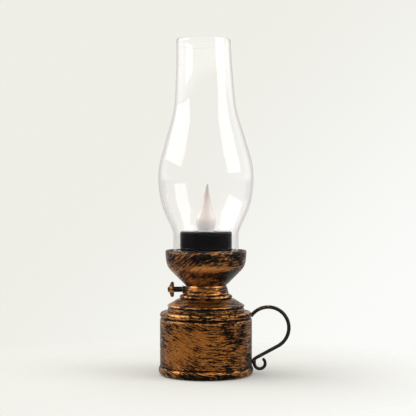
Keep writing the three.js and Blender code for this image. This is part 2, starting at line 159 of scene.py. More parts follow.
@dataclass(frozen=True)
class Profile:
    """Half of a turned piece's section.

    Attributes:
        points: (radius, height) pairs in millimetres, anticlockwise.
        closed: True if the last point joins the first, False if both ends lie on the axis.
    """

    points: np.ndarray
    closed: bool

    @classmethod
    def through(cls, points: Points, closed: bool = True, lift: float = 0.0) -> "Profile":
        """Makes a profile from plain pairs, raised by lift millimetres."""
        return cls(np.array(points, float) + (0.0, lift), closed)

    def rounded(self, radius: float, steps: int = 5) -> "Profile":
        """Rounds every corner.

        Each corner is cut back by up to radius along both of its edges, and the gap is bridged by a
        quadratic curve that has the corner as its middle control point: (1-t)^2 a + 2t(1-t) p + t^2 b.

        Args:
            radius: how far a corner is cut back, in millimetres, but never more than CORNER_LIMIT of an
                edge.
            steps: points on each curve.

        Returns:
            The rounded profile.
        """
        p = self.points
        before, after = np.roll(p, 1, axis=0), np.roll(p, -1, axis=0)
        to_before, to_after = before - p, after - p
        length_before = np.linalg.norm(to_before, axis=1, keepdims=True)
        length_after = np.linalg.norm(to_after, axis=1, keepdims=True)
        a = p + to_before / length_before * np.minimum(radius, CORNER_LIMIT * length_before)
        b = p + to_after / length_after * np.minimum(radius, CORNER_LIMIT * length_after)
        t = np.linspace(0, 1, steps)[None, :, None]
        curves = (1 - t) ** 2 * a[:, None] + 2 * t * (1 - t) * p[:, None] + t**2 * b[:, None]
        if self.closed:
            return Profile(curves.reshape(-1, 2), True)
        inner = curves[1:-1].reshape(-1, 2)
        return Profile(np.vstack([p[:1], inner, p[-1:]]), False)

    def filled(self, step: float) -> "Profile":
        """Adds evenly spaced points along every long edge: start (1-t) + end t, for whole arrays at once.

        Args:
            step: the longest edge that is left as it is, in millimetres.

        Returns:
            The profile with its added points.
        """
        p = np.vstack([self.points, self.points[:1]]) if self.closed else self.points
        lengths = np.linalg.norm(np.diff(p, axis=0), axis=1)
        counts = np.maximum(1, np.ceil(lengths / step)).astype(int)
        starts = np.repeat(np.arange(len(counts)), counts)
        within = np.arange(counts.sum()) - np.repeat(np.cumsum(counts) - counts, counts)
        share = (within / counts[starts])[:, None]
        made = p[starts] * (1 - share) + p[starts + 1] * share
        return Profile(made if self.closed else np.vstack([made, p[-1:]]), self.closed)

    def wear(self, width: float) -> np.ndarray:
        """How sharply the section turns near each point.

        The turn at each point, in radians and positive on outer edges, is divided by a right angle and
        spread along the outline by a bell curve, exp(-(gap / width)^2).

        Args:
            width: width of the bell curve, in millimetres.

        Returns:
            A number for each point, from -1 in an inner corner to 1 on an outer edge.
        """
        p = self.points
        before, after = np.roll(p, 1, axis=0), np.roll(p, -1, axis=0)
        ahead, behind = after - p, p - before
        cross = behind[:, 0] * ahead[:, 1] - behind[:, 1] * ahead[:, 0]
        turn = np.arctan2(cross, (behind * ahead).sum(axis=1))
        if not self.closed:
            turn[[0, -1]] = 0
        travel = np.concatenate([[0], np.cumsum(np.linalg.norm(np.diff(p, axis=0), axis=1))])
        gap = np.abs(travel[:, None] - travel[None, :])
        if self.closed:
            total = travel[-1] + np.linalg.norm(p[0] - p[-1])
            gap = np.minimum(gap, total - gap)
        spread = np.exp(-((gap / width) ** 2))
        return np.clip(spread @ turn / (math.pi / 2), -1, 1)


@dataclass
class Surface:
    """A grid of points that closes on itself round its second direction.

    Attributes:
        grid: points in millimetres, rows by columns by 3.
        wraps: True if the last row joins the first.
        rub: how sharply the surface turns at each row, or None.
    """

    grid: np.ndarray
    wraps: bool
    rub: np.ndarray | None = None

    @classmethod
    def turned(cls, profile: Profile, segments: int = ROUND, wear: float = 0.8) -> "Surface":
        """Carries a profile round Z: x = r cos(a), y = r sin(a), z = h. The seam is at the back.

        Args:
            profile: the section.
            segments: points round the axis.
            wear: how far the wear of an edge spreads, in millimetres.

        Returns:
            The turned surface.
        """
        angle = np.linspace(0, TAU, segments, endpoint=False) + math.pi / 2
        radius, height = profile.points[:, :1], profile.points[:, 1:]
        flat = np.ones((1, segments))
        grid = np.stack([radius * np.cos(angle), radius * np.sin(angle), height * flat], axis=-1)
        return cls(grid, profile.closed, profile.wear(wear))

    @classmethod
    def swept(cls, path: np.ndarray, radii: np.ndarray, segments: int = 24) -> "Surface":
        """Carries a circle along a path in the XZ plane.

        At each point the circle lies square to the path's direction: point + r (cos(a) n + sin(a) y),
        with n the direction turned by a quarter in the plane. Both ends close with a half ball, made by
        drawing the circle in as the cosine of an angle while it moves on by the sine.

        Args:
            path: points in millimetres, n by 3, with y of 0.
            radii: the circle's radius at each point.
            segments: points round the circle.

        Returns:
            The swept surface.
        """
        along = np.gradient(path, axis=0)
        along /= np.linalg.norm(along, axis=1, keepdims=True)
        steps = 6
        cap = np.linspace(math.pi / 2, 0, steps + 1)[:, None]
        start = path[0] - along[0] * radii[0] * np.sin(cap)
        end = path[-1] + along[-1] * radii[-1] * np.sin(cap[::-1])
        points = np.vstack([start[:-1], path, end[1:]])
        opening, closing = radii[0] * np.cos(cap[:-1, 0]), radii[-1] * np.cos(cap[::-1][1:, 0])
        sizes = np.concatenate([opening, radii, closing])
        first, last = np.repeat(along[:1], steps, axis=0), np.repeat(along[-1:], steps, axis=0)
        headings = np.vstack([first, along, last])
        side = np.stack([-headings[:, 2], np.zeros(len(headings)), headings[:, 0]], axis=-1)
        angle = np.linspace(0, TAU, segments, endpoint=False)
        ring = side[:, None] * np.cos(angle)[None, :, None]
        ring = ring + np.array([0, 1.0, 0]) * np.sin(angle)[None, :, None]
        return cls(points[:, None] + sizes[:, None, None] * ring, False)

    def moved(self, change: Callable[[np.ndarray], np.ndarray]) -> "Surface":
        """The same surface with its points passed through change, which takes and gives a whole grid."""
        return replace(self, grid=change(self.grid))

    def faces(self) -> np.ndarray:
        """Finds the corners of each cell of the grid.

        Returns:
            Four indices into the grid's points for each cell, in order round it.
        """
        rows, columns = self.grid.shape[:2]
        down = np.arange(rows if self.wraps else rows - 1)[:, None]
        across = np.arange(columns)[None, :]
        here, below = down * columns, (down + 1) % rows * columns
        right = (across + 1) % columns
        corners = np.stack([here + across, here + right, below + right, below + across], axis=-1)
        return corners.reshape(-1, 4)

    def piece(self, name: str) -> bpy.types.Object:
        """Makes a smooth mesh object in metres, with its poles merged and its faces pointing out.

        Args:
            name: the object's name.

        Returns:
            The object, at the origin.
        """
        corners = self.faces()
        mesh = bpy.data.meshes.new(name)
        mesh.vertices.add(self.grid.shape[0] * self.grid.shape[1])
        mesh.vertices.foreach_set("co", (self.grid * MM).astype(np.float32).ravel())
        mesh.loops.add(corners.size)
        mesh.loops.foreach_set("vertex_index", corners.astype(np.int32).ravel())
        mesh.polygons.add(len(corners))
        mesh.polygons.foreach_set("loop_start", np.arange(0, corners.size, 4, dtype=np.int32))
        if self.rub is not None:
            rub = np.repeat(self.rub, self.grid.shape[1])
            mesh.attributes.new("rub", "FLOAT", "POINT").data.foreach_set("value", rub.astype(np.float32))
        mesh.update(calc_edges=True)
        return finished_mesh(name, mesh)


def finished_mesh(name: str, mesh: bpy.types.Mesh) -> bpy.types.Object:
    """Merges a mesh's doubles, points its faces out, shades it smooth and links it as an object.

    Args:
        name: the object's name.
        mesh: the mesh, which is changed.

    Returns:
        The object.
    """
    work = bmesh.new()
    work.from_mesh(mesh)
    bmesh.ops.remove_doubles(work, verts=work.verts, dist=MERGE)
    bmesh.ops.dissolve_degenerate(work, edges=work.edges, dist=FLAT)
    bmesh.ops.recalc_face_normals(work, faces=work.faces)
    work.to_mesh(mesh)
    work.free()
    mesh.polygons.foreach_set("use_smooth", np.ones(len(mesh.polygons), bool))
    mesh.validate()
    thing = bpy.data.objects.new(name, mesh)
    bpy.context.scene.collection.objects.link(thing)
    return thing


def spline(points: Points, steps: int) -> np.ndarray:
    """A smooth curve through points.

    Between two points it is the Catmull-Rom cubic, whose slope at each point is half the way from the
    point before to the point after.

    Args:
        points: the points that it goes through.
        steps: points on each stretch.

    Returns:
        The curve's points, from first to last.
    """
    p = np.array(points, float)
    p = np.vstack([2 * p[0] - p[1], p, 2 * p[-1] - p[-2]])
    t = np.linspace(0, 1, steps, endpoint=False)[None, :, None]
    a, b, c, d = (p[i : len(p) - 3 + i, None] for i in range(4))
    square, cube = 2 * a - 5 * b + 4 * c - d, 3 * b - a - 3 * c + d
    curve = 0.5 * (2 * b + (c - a) * t + square * t**2 + cube * t**3)
    return np.vstack([curve.reshape(-1, p.shape[1]), p[-2:-1]])


def arc(centre: Pair, radius: float, start: float, end: float, steps: int) -> np.ndarray:
    """Points on a circle in the XZ plane: x = cx + r cos(a), z = cz + r sin(a).

    Args:
        centre: X and Z of its middle, in millimetres.
        radius: its radius, in millimetres.
        start: first angle from +X, in degrees.
        end: last angle, in degrees.
        steps: number of points.

    Returns:
        The points, steps by 3.
    """
    angle = np.radians(np.linspace(start, end, steps))
    x, z = centre[0] + radius * np.cos(angle), centre[1] + radius * np.sin(angle)
    return np.stack([x, 0 * angle, z], axis=-1)


def sideways(grid: np.ndarray, height: float) -> np.ndarray:
    """Lays a shape made about Z along -X at a height: (x, y, z) goes to (-z, y, x + height)."""
    return np.stack([-grid[..., 2], grid[..., 1], grid[..., 0] + height], axis=-1)


def leaned(grid: np.ndarray, start: float, end: float, lean: float, power: float) -> np.ndarray:
    """Leans the upper part of a shape.

    X grows by lean times share^power, where share is how far up a point is from start to end.

    Args:
        grid: points in millimetres.
        start: height below which nothing moves.
        end: height at which the shape has moved by the whole lean.
        lean: how far it moves along X, in millimetres.
        power: how late the lean sets in; 1 is a straight slant.

    Returns:
        The moved points.
    """
    share = np.clip((grid[..., 2] - start) / (end - start), 0, 1) ** power
    return grid + share[..., None] * (lean, 0.0, 0.0)


def cut(thing: bpy.types.Object, tool: bpy.types.Object) -> None:
    """Cuts one object's shape out of another, and removes the tool.

    Args:
        thing: the object that is cut.
        tool: the object whose shape is taken out.
    """
    change = thing.modifiers.new("cut", "BOOLEAN")
    change.object = tool
    change.solver = "EXACT"
    evaluated = thing.evaluated_get(bpy.context.evaluated_depsgraph_get())
    made = bpy.data.meshes.new_from_object(evaluated)
    thing.modifiers.remove(change)
    old = thing.data
    thing.data = made
    made.name = thing.name
    bpy.data.meshes.remove(old)
    bpy.data.objects.remove(tool)
    made.set_sharp_from_angle(angle=math.radians(SHARP))


# ---- Node graphs -----------------------------------------------------------------------------------

SHADER_INPUTS = {
    "colour": "Base Color", "metallic": "Metallic", "roughness": "Roughness", "normal": "Normal",
    "index": "IOR", "mirror": "Specular IOR Level", "transmission": "Transmission Weight",
    "sheen": "Sheen Weight",
    "glow_colour": "Emission Color", "glow": "Emission Strength",
}


class Graph:
    """Adds nodes to a tree, and sets or links their inputs."""

    def __init__(self, tree: bpy.types.NodeTree) -> None:
        """Keeps the tree that nodes are added to."""
        self.tree = tree

    @classmethod
    def of(cls, owner: bpy.types.Material | bpy.types.World) -> "Graph":
        """Empties the node tree of a material or a world.

        Args:
            owner: the material or the world.

        Returns:
            A graph of its empty tree.
        """
        owner.use_nodes = True
        owner.node_tree.nodes.clear()
        return cls(owner.node_tree)

    def add(self, kind: str, inputs: dict | None = None, **settings: object) -> bpy.types.Node:
        """Adds a node.

        Args:
            kind: the node's class name, without its ShaderNode prefix.
            inputs: values or sockets by input name or number.
            **settings: the node's own properties.

        Returns:
            The node.
        """
        node = self.tree.nodes.new("ShaderNode" + kind)
        for key, value in settings.items():
            setattr(node, key, value)
        for key, value in (inputs or {}).items():
            self.feed(node.inputs[key], value)
        return node

    def feed(self, socket: Socket, value: Value) -> None:
        """Links a socket, or sets its plain value.

        Args:
            socket: the input.
            value: a socket to link it to, or the value to set.
        """
        if isinstance(value, bpy.types.NodeSocket):
            self.tree.links.new(value, socket)
        else:
            socket.default_value = value

    def math(self, operation: str, first: Value, second: Value = 0.0) -> Socket:
        """A calculation with one or two numbers."""
        return self.add("Math", {0: first, 1: second}, operation=operation).outputs[0]

    def weighted(self, start: Value, *parts: tuple[Socket, float]) -> Socket:
        """A sum: the start, and each part times its weight.

        Args:
            start: what the sum starts with.
            *parts: sockets with their weights.

        Returns:
            The sum.
        """
        total = start
        for value, weight in parts:
            total = self.math("ADD", total, self.math("MULTIPLY", value, weight))
        return total

    def vector(self, operation: str, first: Value, second: Value) -> Socket:
        """A calculation with two vectors."""
        return self.add("VectorMath", {0: first, 1: second}, operation=operation).outputs[0]

    def length(self, vector: Value) -> Socket:
        """A vector's length."""
        return self.add("VectorMath", {0: vector}, operation="LENGTH").outputs["Value"]

    def axes(self, vector: Value) -> list[Socket]:
        """A vector's X, Y and Z."""
        return list(self.add("SeparateXYZ", {0: vector}).outputs)

    def remap(self, value: Value, low: Value, high: Value, least: float = 0.0, most: float = 1.0) -> Socket:
        """Takes a range smoothly to another, and holds it there."""
        inputs = {"Value": value, "From Min": low, "From Max": high, "To Min": least, "To Max": most}
        return self.add("MapRange", inputs, interpolation_type="SMOOTHSTEP").outputs["Result"]

    def noise(self, vector: Value, scale: float, detail: float = 2.0, rough: float = 0.5) -> Socket:
        """A cloud noise around 0.5."""
        inputs = {"Vector": vector, "Scale": scale, "Detail": detail, "Roughness": rough}
        return self.add("TexNoise", inputs).outputs["Fac"]

    def blend(self, share: Value, first: Value, second: Value) -> Socket:
        """A mix of two colours.

        Args:
            share: 0 for the first colour, 1 for the second.
            first: a colour.
            second: another colour.

        Returns:
            The mixed colour.
        """
        node = self.add("Mix", data_type="RGBA")
        self.feed(node.inputs["Factor"], share)
        self.feed(node.inputs[6], (*first, 1.0) if isinstance(first, tuple) else first)
        self.feed(node.inputs[7], (*second, 1.0) if isinstance(second, tuple) else second)
        return node.outputs[2]

    def place(self) -> Socket:
        """Object coordinates."""
        return self.add("TexCoord").outputs["Object"]

    def bump(self, height: Socket, strength: float, distance: float) -> Socket:
        """A normal from a height, with its full depth in metres."""
        inputs = {"Height": height, "Strength": strength, "Distance": distance}
        return self.add("Bump", inputs).outputs["Normal"]

    def placed(self, tree: bpy.types.NodeTree, **inputs: Value) -> dict[str, Socket]:
        """Places a node group.

        Args:
            tree: the group's tree.
            **inputs: values or sockets by the names of the group's inputs.

        Returns:
            The group's outputs by name.
        """
        return dict(self.add("Group", inputs, node_tree=tree).outputs.items())

    def principled(self, **inputs: Value) -> Socket:
        """A Principled shader, with its inputs named as in SHADER_INPUTS."""
        named = {SHADER_INPUTS[key]: value for key, value in inputs.items()}
        return self.add("BsdfPrincipled", named).outputs[0]


Fill = Callable[[Graph, dict[str, Socket]], tuple[Socket, ...]]


def group(name: str, inputs: dict[str, Value], outputs: tuple[str, ...], fill: Fill) -> bpy.types.NodeTree:
    """Builds a shader node group once, and finds it again afterwards.

    Args:
        name: the group's name.
        inputs: default values by name; a tuple makes a vector socket.
        outputs: names of number outputs.
        fill: takes the graph and the inputs' sockets, and returns a socket for each output.

    Returns:
        The group's tree.
    """
    if name in bpy.data.node_groups:
        return bpy.data.node_groups[name]
    tree = bpy.data.node_groups.new(name, "ShaderNodeTree")
    for key, value in inputs.items():
        kind = "NodeSocketVector" if isinstance(value, tuple) else "NodeSocketFloat"
        tree.interface.new_socket(key, in_out="INPUT", socket_type=kind).default_value = value
    for key in outputs:
        tree.interface.new_socket(key, in_out="OUTPUT", socket_type="NodeSocketFloat")
    graph = Graph(tree)
    given = tree.nodes.new("NodeGroupInput")
    made = fill(graph, {key: given.outputs[key] for key in inputs})
    out = tree.nodes.new("NodeGroupOutput")
    for key, value in zip(outputs, made):
        graph.feed(out.inputs[key], value)
    return tree


def dry_brush() -> bpy.types.NodeTree:
    """Bronze dragged on with a nearly dry brush.

    The strokes are noise drawn out along X and Y and packed along Z, so they run round an upright piece,
    and Slope shears them. Wide clouds thin the paint in patches, and crumbs of fine noise break up its
    edges.

    Returns:
        The group's tree.
    """

    def fill(graph: Graph, given: dict[str, Socket]) -> tuple[Socket, ...]:
        """Makes the masks and the height.

        Args:
            graph: the group's graph.
            given: the group's inputs.

        Returns:
            A socket for each output.
        """
        wander = 0.006  # metres that the strokes drift up and down
        vector = given["Vector"]
        x, y, z = graph.axes(vector)
        slanted = graph.math("ADD", z, graph.math("MULTIPLY", x, given["Slope"]))
        rise = graph.weighted(slanted, (graph.noise(vector, scale=28.0, detail=1.0), wander))
        across = graph.math("DIVIDE", x, given["Length"])
        depth = graph.math("DIVIDE", y, given["Length"])
        up = graph.math("DIVIDE", rise, given["Width"])
        drawn = graph.add("CombineXYZ", {0: across, 1: depth, 2: up}).outputs[0]
        strokes = graph.noise(drawn, scale=1.0, detail=4.0, rough=0.62)
        finer = graph.vector("MULTIPLY", drawn, (2.2, 2.2, 3.1))
        bristles = graph.noise(finer, scale=1.0, detail=3.0, rough=0.6)
        clouds = graph.noise(vector, scale=55.0, detail=2.0, rough=0.55)
        close = graph.vector("MULTIPLY", vector, (420.0, 420.0, 900.0))
        crumbs = graph.noise(close, scale=1.0, detail=3.0, rough=0.7)
        total = graph.weighted(0.0, (strokes, 0.56), (clouds, 0.2), (crumbs, 0.24))
        bar = graph.math("SUBTRACT", 1.0, given["Cover"])
        low = graph.math("SUBTRACT", bar, given["Softness"])
        high = graph.math("ADD", bar, given["Softness"])
        paint = graph.remap(total, low, high)
        thick = graph.remap(total, bar, graph.math("ADD", bar, given["Build"]))
        return paint, thick, graph.weighted(0.0, (paint, 0.6), (thick, 0.5), (bristles, 0.8)), bristles

    inputs = {
        "Vector": (0.0, 0.0, 0.0), "Slope": 0.0, "Length": 0.016, "Width": 0.0012, "Cover": 0.55,
        "Softness": 0.018, "Build": 0.055,
    }
    return group("Dry brush", inputs, ("Paint", "Thickness", "Height", "Bristles"), fill)


def bare_spot() -> bpy.types.NodeTree:
    """A soft spot round a centre: 1 in its middle, 0 past its size, with a ragged edge.

    Returns:
        The group's tree.
    """

    def fill(graph: Graph, given: dict[str, Socket]) -> tuple[Socket, ...]:
        """Measures the distance from the centre in sizes.

        Args:
            graph: the group's graph.
            given: the group's inputs.

        Returns:
            A socket for the spot.
        """
        offset = graph.vector("SUBTRACT", given["Vector"], given["Centre"])
        reach = graph.length(graph.vector("DIVIDE", offset, given["Size"]))
        ragged = graph.weighted(reach, (graph.noise(given["Vector"], scale=220.0, detail=3.0), 0.7))
        return (graph.remap(ragged, 0.75, 1.45, 1.0, 0.0),)

    inputs = {"Vector": (0.0, 0.0, 0.0), "Centre": (0.0, 0.0, 0.0), "Size": (0.01, 0.01, 0.01)}
    return group("Bare spot", inputs, ("Spot",), fill)


def edge_wear() -> bpy.types.NodeTree:
    """Splits the wear attribute into rubbed outer edges and filled inner corners, both broken up by noise. The
    outer-edge mask also places the bronze's painted highlight.

    Returns:
        The group's tree.
    """

    def fill(graph: Graph, given: dict[str, Socket]) -> tuple[Socket, ...]:
        """Makes the two masks.

        Args:
            graph: the group's graph.
            given: the group's inputs.

        Returns:
            A socket for each mask.
        """
        chips = graph.noise(given["Vector"], scale=300.0, detail=3.0, rough=0.65)
        patches = graph.noise(given["Vector"], scale=75.0, detail=2.0, rough=0.5)
        worn = graph.remap(graph.math("ADD", chips, patches), 0.85, 1.15)
        outer = graph.remap(given["Rub"], 0.05, 0.4)
        inner = graph.remap(graph.math("MULTIPLY", given["Rub"], -1.0), 0.05, 0.35)
        edge = graph.math("MULTIPLY", outer, graph.remap(worn, 0.0, 1.0, 0.15, 1.0))
        grime = graph.math("MULTIPLY", inner, graph.remap(worn, 0.0, 1.0, 1.0, 0.35))
        return edge, grime

    return group("Edge wear", {"Vector": (0.0, 0.0, 0.0), "Rub": 0.0}, ("Edge", "Grime"), fill)


def fine_grain() -> bpy.types.NodeTree:
    """The small relief and unevenness of a moulded, plated or painted skin, with a few hair scratches.

    Returns:
        The group's tree.
    """

    def fill(graph: Graph, given: dict[str, Socket]) -> tuple[Socket, ...]:
        """Makes the relief, the unevenness and the scratches.

        Args:
            graph: the group's graph.
            given: the group's inputs.

        Returns:
            A socket for each output.
        """
        scaled = graph.vector("MULTIPLY", given["Vector"], given["Stretch"])
        peel = graph.noise(scaled, scale=420.0, detail=2.0, rough=0.5)
        smudge = graph.noise(given["Vector"], scale=60.0, detail=3.0, rough=0.6)
        combed = graph.vector("MULTIPLY", scaled, (40.0, 40.0, 2600.0))
        hairs = graph.noise(combed, scale=1.0, detail=2.0, rough=0.5)
        return peel, smudge, graph.remap(hairs, 0.66, 0.74)

    inputs = {"Vector": (0.0, 0.0, 0.0), "Stretch": (1.0, 1.0, 1.0)}
    return group("Fine grain", inputs, ("Relief", "Smudge", "Scratch"), fill)


# ---- Finishes --------------------------------------------------------------------------------------


@dataclass(frozen=True)
class Finish:
    """What every finish shares.

    Attributes:
        name: the material's name.
        slot: the record's material slot that it belongs to; not used.
    """

    name: str
    slot: Slot

    def material(self) -> bpy.types.Material:
        """Finds the material, or makes it once.

        Returns:
            The material.
        """
        name = f"{self.name}_finish"
        found = bpy.data.materials.get(name)
        if found is not None:
            return found
        made = bpy.data.materials.new(name)
        graph = Graph.of(made)
        graph.add("OutputMaterial", {"Surface": self.surface(graph)})
        return made

    def surface(self, graph: Graph) -> Socket:
        """Builds the shader in a graph and returns its socket."""
        raise NotImplementedError

    def dress(self, thing: bpy.types.Object) -> None:
        """Puts the finish on an object.

        Args:
            thing: the object.
        """
        thing.data.materials.clear()
        thing.data.materials.append(self.material())


@dataclass(frozen=True)
class Spot:
    """A place where the brush left the black bare, or laid more bronze on.

    Attributes:
        centre: its middle, in millimetres.
        size: its half-widths, in millimetres.
        change: what it adds to the bronze's cover.
    """

    centre: Triple
    size: Triple
    change: float

    def mask(self, graph: Graph, place: Socket) -> Socket:
        """Places the spot's node group.

        Args:
            graph: the material's graph.
            place: object coordinates.

        Returns:
            A socket that is 1 in the spot and 0 away from it.
        """
        centre, size = (tuple(value * MM for value in triple) for triple in (self.centre, self.size))
        return graph.placed(bare_spot(), Vector=place, Centre=centre, Size=size)["Spot"]


@dataclass(frozen=True)
class BrushedBronze(Finish):
    """Bronze dry-brushed over satin black, rubbed bright on the edges, where a painted highlight is laid on as
    well.

    Attributes:
        cover: share of the surface that the bronze covers.
        rubbed: how much more it covers on outer edges.
        grime: how much less it covers in inner corners.
        slope: slant of the strokes at the left and right ends, as rise per run.
        span: X of those two ends, in millimetres.
        length: stroke length in millimetres.
        width: stroke width in millimetres.
        build: how slowly the bronze builds up from its thinnest to its full colour.
        thin: share of its full colour that the thinnest bronze has.
        spots: places with less or more bronze.
        sheen: gloss of the black.
        metal: how metallic the bronze is.
        rough: least and greatest roughness.
        relief: depth of the paint, in millimetres.
        black: colour of the black.
        bronze: colour of the bronze.
        pale: colour of bronze that is rubbed bright, and of the painted highlight on the edges.
        bright: how bright the bristles' crests are rubbed, and how strongly the edges turn pale, partly rub and
            partly painted highlight.
    """

    cover: float = 0.54
    rubbed: float = 0.045
    grime: float = 0.15
    slope: Pair = (0.0, 0.0)
    span: Pair = (-30.0, 30.0)
    length: float = 15.0
    width: float = 1.3
    build: float = 0.07
    thin: float = 0.14
    spots: tuple[Spot, ...] = ()
    sheen: float = 0.08
    metal: float = 0.85
    rough: Pair = (0.20, 0.36)
    relief: float = 0.22
    black: Colour = (0.0035, 0.0024, 0.0016)
    bronze: Colour = (0.31, 0.108, 0.022)
    pale: Colour = (0.74, 0.42, 0.16)
    bright: float = 0.5

    def surface(self, graph: Graph) -> Socket:
        """Builds the shader.

        Args:
            graph: the material's graph.

        Returns:
            The shader's socket.
        """
        place = graph.place()
        slope = graph.remap(graph.axes(place)[0], self.span[0] * MM, self.span[1] * MM, *self.slope)
        rub = graph.add("Attribute", attribute_name="rub").outputs["Fac"]
        wear = graph.placed(edge_wear(), Vector=place, Rub=rub)
        spots = [(spot.mask(graph, place), spot.change) for spot in self.spots]
        worn = [(wear["Edge"], self.rubbed), (wear["Grime"], -self.grime)]
        size = {"Length": self.length * MM, "Width": self.width * MM}
        brush = graph.placed(
            dry_brush(), Vector=place, Slope=slope, Cover=graph.weighted(self.cover, *worn, *spots),
            Build=self.build, **size,
        )
        paint, thick, bristles = brush["Paint"], brush["Thickness"], brush["Bristles"]
        bronze = graph.blend(thick, tuple(value * self.thin for value in self.bronze), self.bronze)
        bronze = graph.blend(graph.remap(bristles, 0.56, 0.74, 0.0, self.bright), bronze, self.pale)
        # Thick bronze on outer edges turns pale: partly rubbed metal, partly a painted highlight where the edges
        # catch the light.
        rubbed_edge_highlight = graph.math("MULTIPLY", wear["Edge"], graph.math("MULTIPLY", thick, self.bright))
        return graph.principled(
            colour=graph.blend(paint, self.black, graph.blend(rubbed_edge_highlight, bronze, self.pale)),
            metallic=graph.math("MULTIPLY", paint, self.metal),
            roughness=graph.remap(bristles, 0.3, 0.7, *self.rough),
            normal=graph.bump(brush["Height"], 0.5, self.relief * MM),
            mirror=self.sheen,
        )


@dataclass(frozen=True)
class BlackWire(Finish):
    """Satin black with bronze caught on it in spots.

    Attributes:
        catch: share of the surface that caught bronze.
        length: length of a spot in millimetres.
        width: width of a spot in millimetres.
        black: darkest and palest black.
        bronze: colour of the bronze.
    """

    catch: float = 0.39
    length: float = 6.0
    width: float = 1.6
    black: tuple[Colour, Colour] = ((0.003, 0.0026, 0.0024), (0.008, 0.0065, 0.0055))
    bronze: Colour = (0.36, 0.15, 0.045)

    def surface(self, graph: Graph) -> Socket:
        """Builds the shader.

        Args:
            graph: the material's graph.

        Returns:
            The shader's socket.
        """
        place = graph.place()
        size = {"Length": self.length * MM, "Width": self.width * MM}
        paint = graph.placed(dry_brush(), Vector=place, Cover=self.catch, **size)["Paint"]
        grain = graph.placed(fine_grain(), Vector=place)
        return graph.principled(
            colour=graph.blend(paint, graph.blend(grain["Smudge"], *self.black), self.bronze),
            metallic=graph.math("MULTIPLY", paint, 0.8),
            roughness=graph.remap(grain["Smudge"], 0.3, 0.7, 0.32, 0.5),
            normal=graph.bump(grain["Relief"], 0.25, 0.0001),
            mirror=0.2,
        )


@dataclass(frozen=True)
class ClearGlass(Finish):
    """Clear blown glass, a little uneven. It lets lamplight through, so what it covers isn't left dark.

    Attributes:
        tint: the colour that it gives to what is seen through it.
        index: its refractive index.
    """

    tint: Colour = (1.0, 0.995, 0.992)
    index: float = 1.38

    def surface(self, graph: Graph) -> Socket:
        """Builds the shader.

        Args:
            graph: the material's graph.

        Returns:
            The shader's socket.
        """
        place = graph.place()
        drawn = graph.noise(graph.vector("MULTIPLY", place, (1.0, 1.0, 0.35)), scale=30.0, detail=1.0)
        smudge = graph.noise(place, scale=45.0, detail=3.0, rough=0.6)
        tint = (*self.tint, 1.0)
        shader = graph.principled(
            colour=tint, roughness=graph.remap(smudge, 0.45, 0.8, 0.0, 0.03), index=self.index,
            transmission=1.0, normal=graph.bump(drawn, 0.05, 0.002),
        )
        through = graph.add("BsdfTransparent", {"Color": tint}).outputs[0]
        shadow = graph.add("LightPath").outputs["Is Shadow Ray"]
        return graph.add("MixShader", {0: shadow, 1: shader, 2: through}).outputs[0]


@dataclass(frozen=True)
class Plastic(Finish):
    """Moulded plastic.

    Attributes:
        colour: its colour.
        rough: its least and greatest roughness.
        relief: depth of its skin's unevenness, in millimetres.
        sheen: how strongly it mirrors.
    """

    colour: Colour = (0.006, 0.006, 0.006)
    rough: Pair = (0.08, 0.2)
    relief: float = 0.03
    sheen: float = 0.5

    def surface(self, graph: Graph) -> Socket:
        """Builds the shader.

        Args:
            graph: the material's graph.

        Returns:
            The shader's socket.
        """
        grain = graph.placed(fine_grain(), Vector=graph.place())
        pale = tuple(min(1.0, value * 1.8 + 0.001) for value in self.colour)
        height = graph.math("ADD", grain["Relief"], grain["Scratch"])
        return graph.principled(
            colour=graph.blend(grain["Smudge"], self.colour, pale),
            roughness=graph.remap(grain["Smudge"], 0.3, 0.7, *self.rough),
            normal=graph.bump(height, 0.3, self.relief * MM),
            mirror=self.sheen,
        )


@dataclass(frozen=True)
class FrostedFlame(Finish):
    """Frosted, milky plastic that takes on a faint tan towards the tip, and gives off a faint painted glow in
    its own colour.

    Attributes:
        bottom: height where the tan starts, in millimetres.
        top: height where the tan is full, in millimetres.
        foot_depth: how far below the bottom the foot's colour is full, in millimetres.
        milk: darkest and palest colour of the middle.
        foot: colour of the foot.
        tan: colour towards the tip.
        glow: strength of the painted glow, an emission in the flame's own colour.
    """

    bottom: float = 0.0
    top: float = 1.0
    foot_depth: float = 7.0
    milk: tuple[Colour, Colour] = ((0.49, 0.442, 0.41), (0.54, 0.487, 0.455))
    foot: Colour = (0.62, 0.6, 0.605)
    tan: Colour = (0.33, 0.27, 0.235)
    glow: float = 0.33

    def surface(self, graph: Graph) -> Socket:
        """Builds the shader.

        Args:
            graph: the material's graph.

        Returns:
            The shader's socket.
        """
        place = graph.place()
        height = graph.axes(place)[2]
        upper = graph.remap(height, self.bottom * MM, self.top * MM)
        lower = graph.remap(height, self.bottom * MM, (self.bottom - self.foot_depth) * MM)
        grain = graph.placed(fine_grain(), Vector=place)
        milk = graph.blend(lower, graph.blend(grain["Smudge"], *self.milk), self.foot)
        colour = graph.blend(upper, milk, self.tan)
        # The emission in the flame's own colour is a painted glow: the flame gives off light though it is no
        # lamp.
        return graph.principled(
            colour=colour, roughness=graph.remap(grain["Smudge"], 0.3, 0.7, 0.32, 0.46),
            normal=graph.bump(grain["Relief"], 0.2, 0.00006), glow_colour=colour, glow=self.glow,
        )


